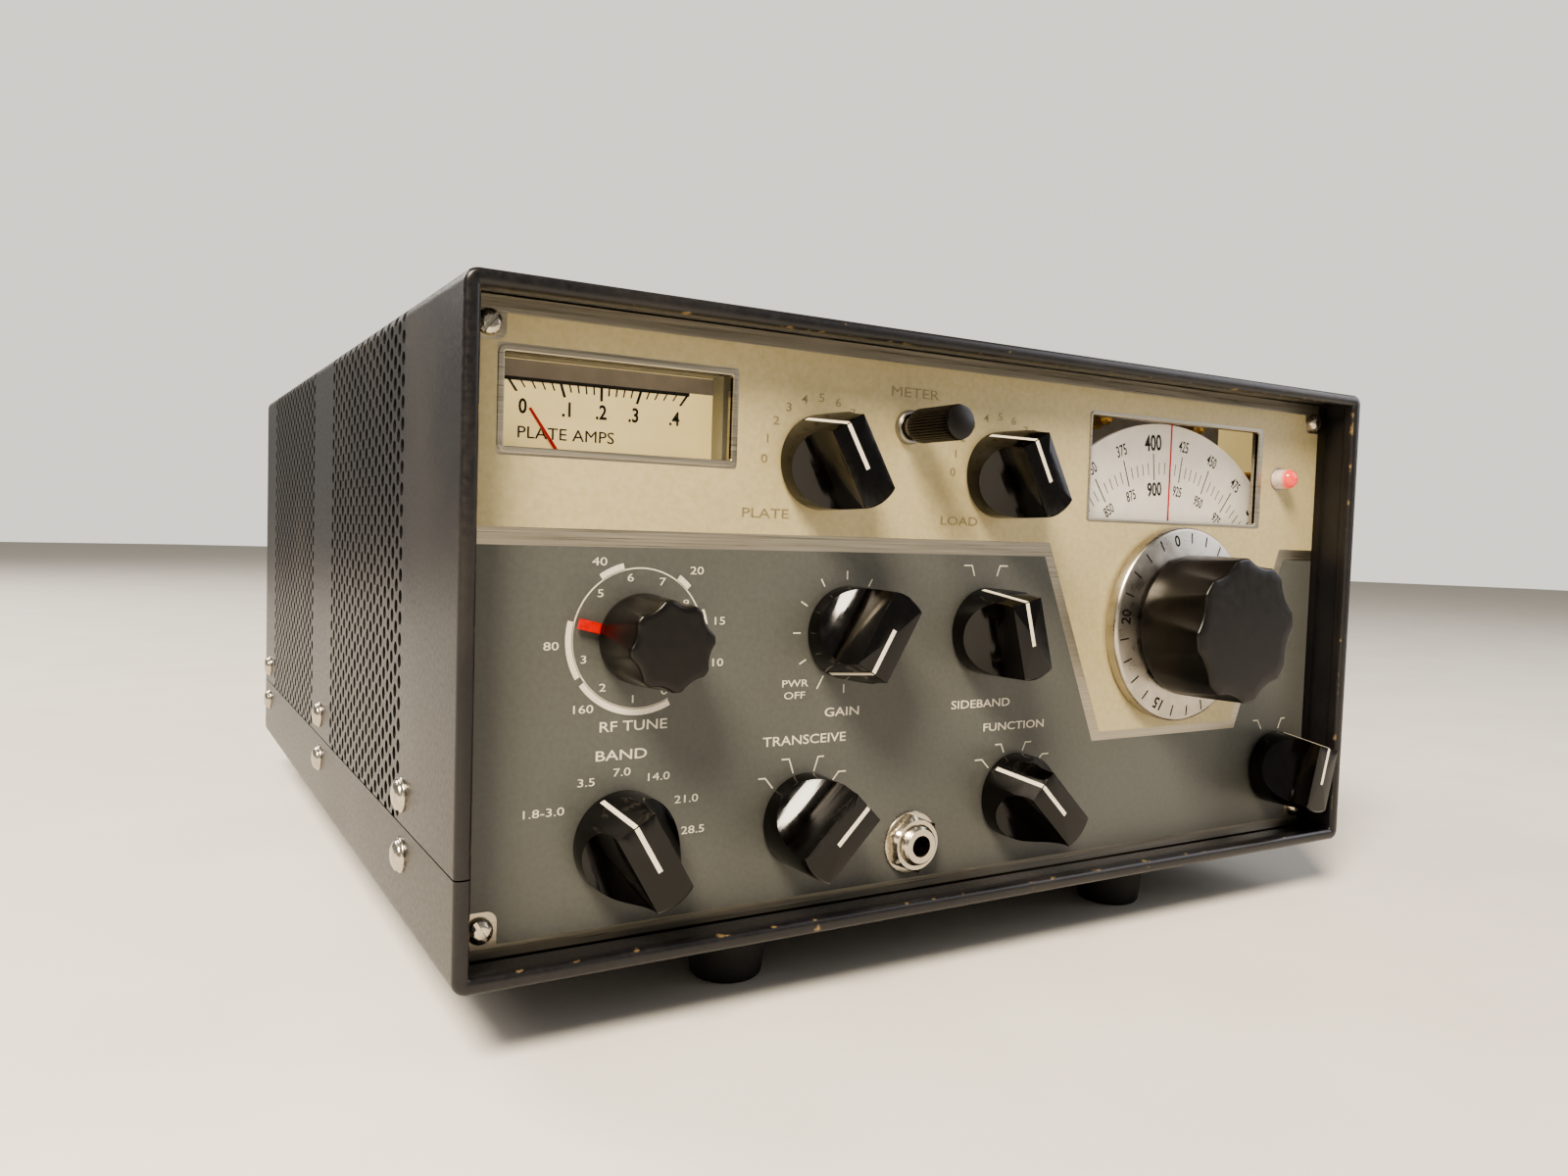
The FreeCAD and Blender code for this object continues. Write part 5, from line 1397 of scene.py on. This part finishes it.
# %% Coil cans
CANS = ((98, 155), (98, 190), (98, 225), (98, 260), (-60, 130), (-104, 262))
can = block(-10, 10, DECK, 92.0, -10, 10, 1.7)
slug = [(0, 91.5), (2.5, 91.5), (2.5, 94.0), (1.4, 94.0), (1.1, 93.0), (0, 93.0)]
places = [(x, depth, 0.0, UPRIGHT) for x, depth in CANS]
settle(copies("drawn_coil_cans", joined([can, turned(slug, 20)]), places, raw_aluminium), "root",
       ["coil_cans"])

# %% [markdown]
# ## Rear sockets
# On the rear apron: a coaxial antenna socket on a square flange, six phono jacks in a row, the
# key jack, and the power inlet with two rows of blades in a phenolic shell.

# %% Antenna socket
holes = [circle(place, 1.65, 20) for place in flanged[:4]]
square = rounded(ANTENNA[0] - 12.7, ANTENNA[0] + 12.7, ANTENNA[1] - 12.7, ANTENNA[1] + 12.7, 1.2)
film("antenna_flange", [square] + holes, APRON, APRON + 1.6, nickel, "root")
end = APRON + 16.0
barrel = [(6.4, APRON), (7.6, APRON + 1.5)] + threaded(7.94, APRON + 2.0, end - 0.3, 1.1, 0.4)
barrel += [(7.3, end), (6.4, end)]
fitted("antenna_barrel", placed(turned(barrel, 64), ANTENNA), nickel, "root",
       ["antenna_socket"])
plug = [(2.0, APRON - 12), (5.8, APRON - 12), (5.8, APRON), (6.38, APRON), (6.38, end - 4),
        (3.4, end - 4), (3.4, end - 0.1), (2.0, end - 0.1)]
fitted("antenna_insulator", placed(turned(eased(plug, 0.15), 48), ANTENNA), ceramic, "root")

# %% Phono and key jacks
places = [(-70.0 + 20.0 * i, APRON, JACKS) for i in range(6)]
sleeve = [(3.1, 0.0), (3.1, 9.3), (3.9, 9.5), (4.15, 9.2), (4.15, 1.6), (7.4, 1.6), (8.0, 1.3),
          (8.0, 0.7), (3.4, 0.6), (3.4, -8.0), (1.7, -8.0), (1.7, 0)]
settle(copies("phono_sleeves", turned(eased(sleeve, 0.15), 40), places, nickel), "root",
       ["rear_jacks"])
insulator = [(1.65, 6.8), (3.05, 6.8), (3.05, 0.2), (1.65, 0.2)]
base = [(3.42, 0.65), (7.9, 0.65), (7.9, 0), (3.42, 0)]
settle(copies("phono_insulators", joined([turned(insulator, 32), turned(base, 40)]), places,
              brown_phenolic), "root")
key = (54.0, JACKS)
barrel = [(3.2, APRON - 26), (7.5, APRON - 26), (7.5, APRON - 1.3), (4.7, APRON - 1.3)]
barrel += threaded(4.7, APRON, APRON + 4.7) + [(4.2, APRON + 5.0), (3.2, APRON + 5.0)]
nut = [(4.75, APRON), (7.33, APRON), (7.33, APRON + 1.9), (6.2, APRON + 2.6), (4.75, APRON + 2.6)]
both = joined([turned(barrel, 48), turned(nut, 96, hexed(12.7))])
fitted("key_jack", placed(both, key), nickel, "root", sharp=28)

# %% Power inlet
ends = [circle(place, 1.65, 20) for place in flanged[4:]]
strap = rounded(POWER_X - 27, POWER_X + 27, JACKS - 9.5, JACKS + 9.5, 2.0)
mouth = [rounded(POWER_X - 19.4, POWER_X + 19.4, JACKS - 6.7, JACKS + 6.7, 1.0)]
film("power_flange", [strap] + ends + mouth, APRON, APRON + 1.6, plated_steel, "root")
body = block(POWER_X - 19.5, POWER_X + 19.5, APRON - 14, APRON + 6, JACKS - 6.8, JACKS + 6.8, 0.8)
fitted("power_shell", placed(body, (0, 0)), brown_phenolic, "root",
       ["power_connector"])
blades = [(POWER_X - 15 + 6 * i, APRON + 5.5, JACKS + row * 3.2)
          for i in range(6) for row in (-1, 1)]
settle(copies("power_blades", block(-1.6, 1.6, 0, 7.5, -0.5, 0.5, 0.2), blades, brass), "root")

# %% [markdown]
# ## The rest of the imported parts
# Parts whose imported shape is already right keep it and only get a finish. The list says what
# each is made of; the meter scale and the dial disc take the finishes with a painted glow.

# %% Finishes of the imported parts
finishes = {
    aluminium: ["front_panel"],
    red_paint: ["meter_needle", "rf_tune_pointer"],
    painted_glow_cream: ["meter_scale"], putty: ["meter_case"], dark_plate: ["meter_movement"],
    clear: ["meter_lens", "dial_window"], painted_glow_white: ["dial_disc"],
    plated_steel: ["sub_panel", "gain_control", "control_nuts"]
    + [node for node in frame["nodes"] if node.endswith("_shaft")],
    raw_aluminium: ["oscillator_housing", "slug_rack", "plate_rotor", "load_rotor", "plate_stator",
                    "load_stator"],
    copper: ["chassis"], brown_phenolic: ["rotary_switches", "rf_coil_forms"],
    brass: ["panel_lamps"],
}
done = set()
for material, nodes in finishes.items():
    for node in nodes:
        body = bpy.data.objects[node]
        if not body.material_slots:
            body.data.materials.append(material)
        for held in body.material_slots:
            held.material = material
        done.add(node)
shown = [n for n in frame["nodes"] if not bpy.data.objects[n].hide_render]
print("packed parts shown", len(shown), "without a finish", sorted(set(shown) - done))

# %% [markdown]
# ## Floor, light and camera
# A plain pale floor and a pale surround. The surround lights the set less than it shows itself,
# so that black phenolic still reads as black. A large soft lamp above and to the left of the
# front is the key light, so the rim shades the top of the sunken panel and the knobs throw soft
# shadows down to the right. A weaker one from the right keeps the dark side readable, and a
# third lights the back.

# %% Floor
paper = surface("matt_paper_floor", ("DEDAD2", "E4E0D8"), (0.8, 0.92), 60.0, 0.0)
shape = bmesh.new()
FLOOR_RADIUS = 4.0
shape.faces.new([shape.verts.new((x, y, 0)) for x, y in circle((0, 0), FLOOR_RADIUS, 16)])
floor = new_piece("floor", shape, paper)
floor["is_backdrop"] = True

# %% Light
world = bpy.data.worlds.new("pale_surround")
world.use_nodes = True
tree = world.node_tree
seen = add(tree, "ShaderNodeLightPath")["Is Camera Ray"]
level = add(tree, "ShaderNodeMapRange", {0: seen, 1: 0.0, 2: 1.0, 3: 0.42, 4: 1.25})[0]
tree.links.new(level, tree.nodes["Background"].inputs["Strength"])
tree.nodes["Background"].inputs["Color"].default_value = linear("E2DED6")
scene.world = world


def soft_lamp(name, place, aim, width, power, colour):
    lamp = bpy.data.lights.new(name, "AREA")
    lamp.shape, lamp.size, lamp.energy = "DISK", width, power
    lamp.color = linear(colour)[:3]
    holder = bpy.data.objects.new(name, lamp)
    scene.collection.objects.link(holder)
    way = Vector(aim) - Vector(place)
    turn = way.to_track_quat("-Z", "Y").to_matrix().to_4x4()
    holder.matrix_world = Matrix.Translation(place) @ turn


soft_lamp("key", (-0.75, -0.75, 1.15), (0.0, -0.12, 0.08), 0.55, 46.0, "FFF0DA")
soft_lamp("fill", (1.3, -0.7, 0.8), (0.0, 0.0, 0.08), 1.2, 10.0, "F2F2FA")
soft_lamp("behind", (-0.9, 1.2, 1.1), (0.0, 0.1, 0.08), 1.0, 22.0, "FFF8F0")

# %% Camera
HEADING, TILT, ROLL = 30.765, -2.831, 1.794
camera = bpy.data.cameras.new("camera")
camera.lens, camera.sensor_width = 25.93, 36.0
viewer = bpy.data.objects.new("camera", camera)
scene.collection.objects.link(viewer)
stand = Matrix.Translation((-0.1914, -0.35926, 0.10592))
for angle, axis in ((-HEADING, "Z"), (90 + TILT, "X"), (ROLL, "Z")):
    stand = stand @ Matrix.Rotation(math.radians(angle), 4, axis)
viewer.matrix_world = stand
scene.camera = viewer
scene.view_settings.look = "AgX - Medium High Contrast"

# %% Size and finish
final_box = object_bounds()
sizes = {"cad": [list(corner) for corner in cad_box],
         "visual": [list(corner) for corner in final_box]}
triangles = 0
for thing in scene.objects:
    if thing.type == "MESH" and not thing.hide_render:
        triangles += sum(len(face.vertices) - 2 for face in thing.data.polygons)
print("triangles", triangles)
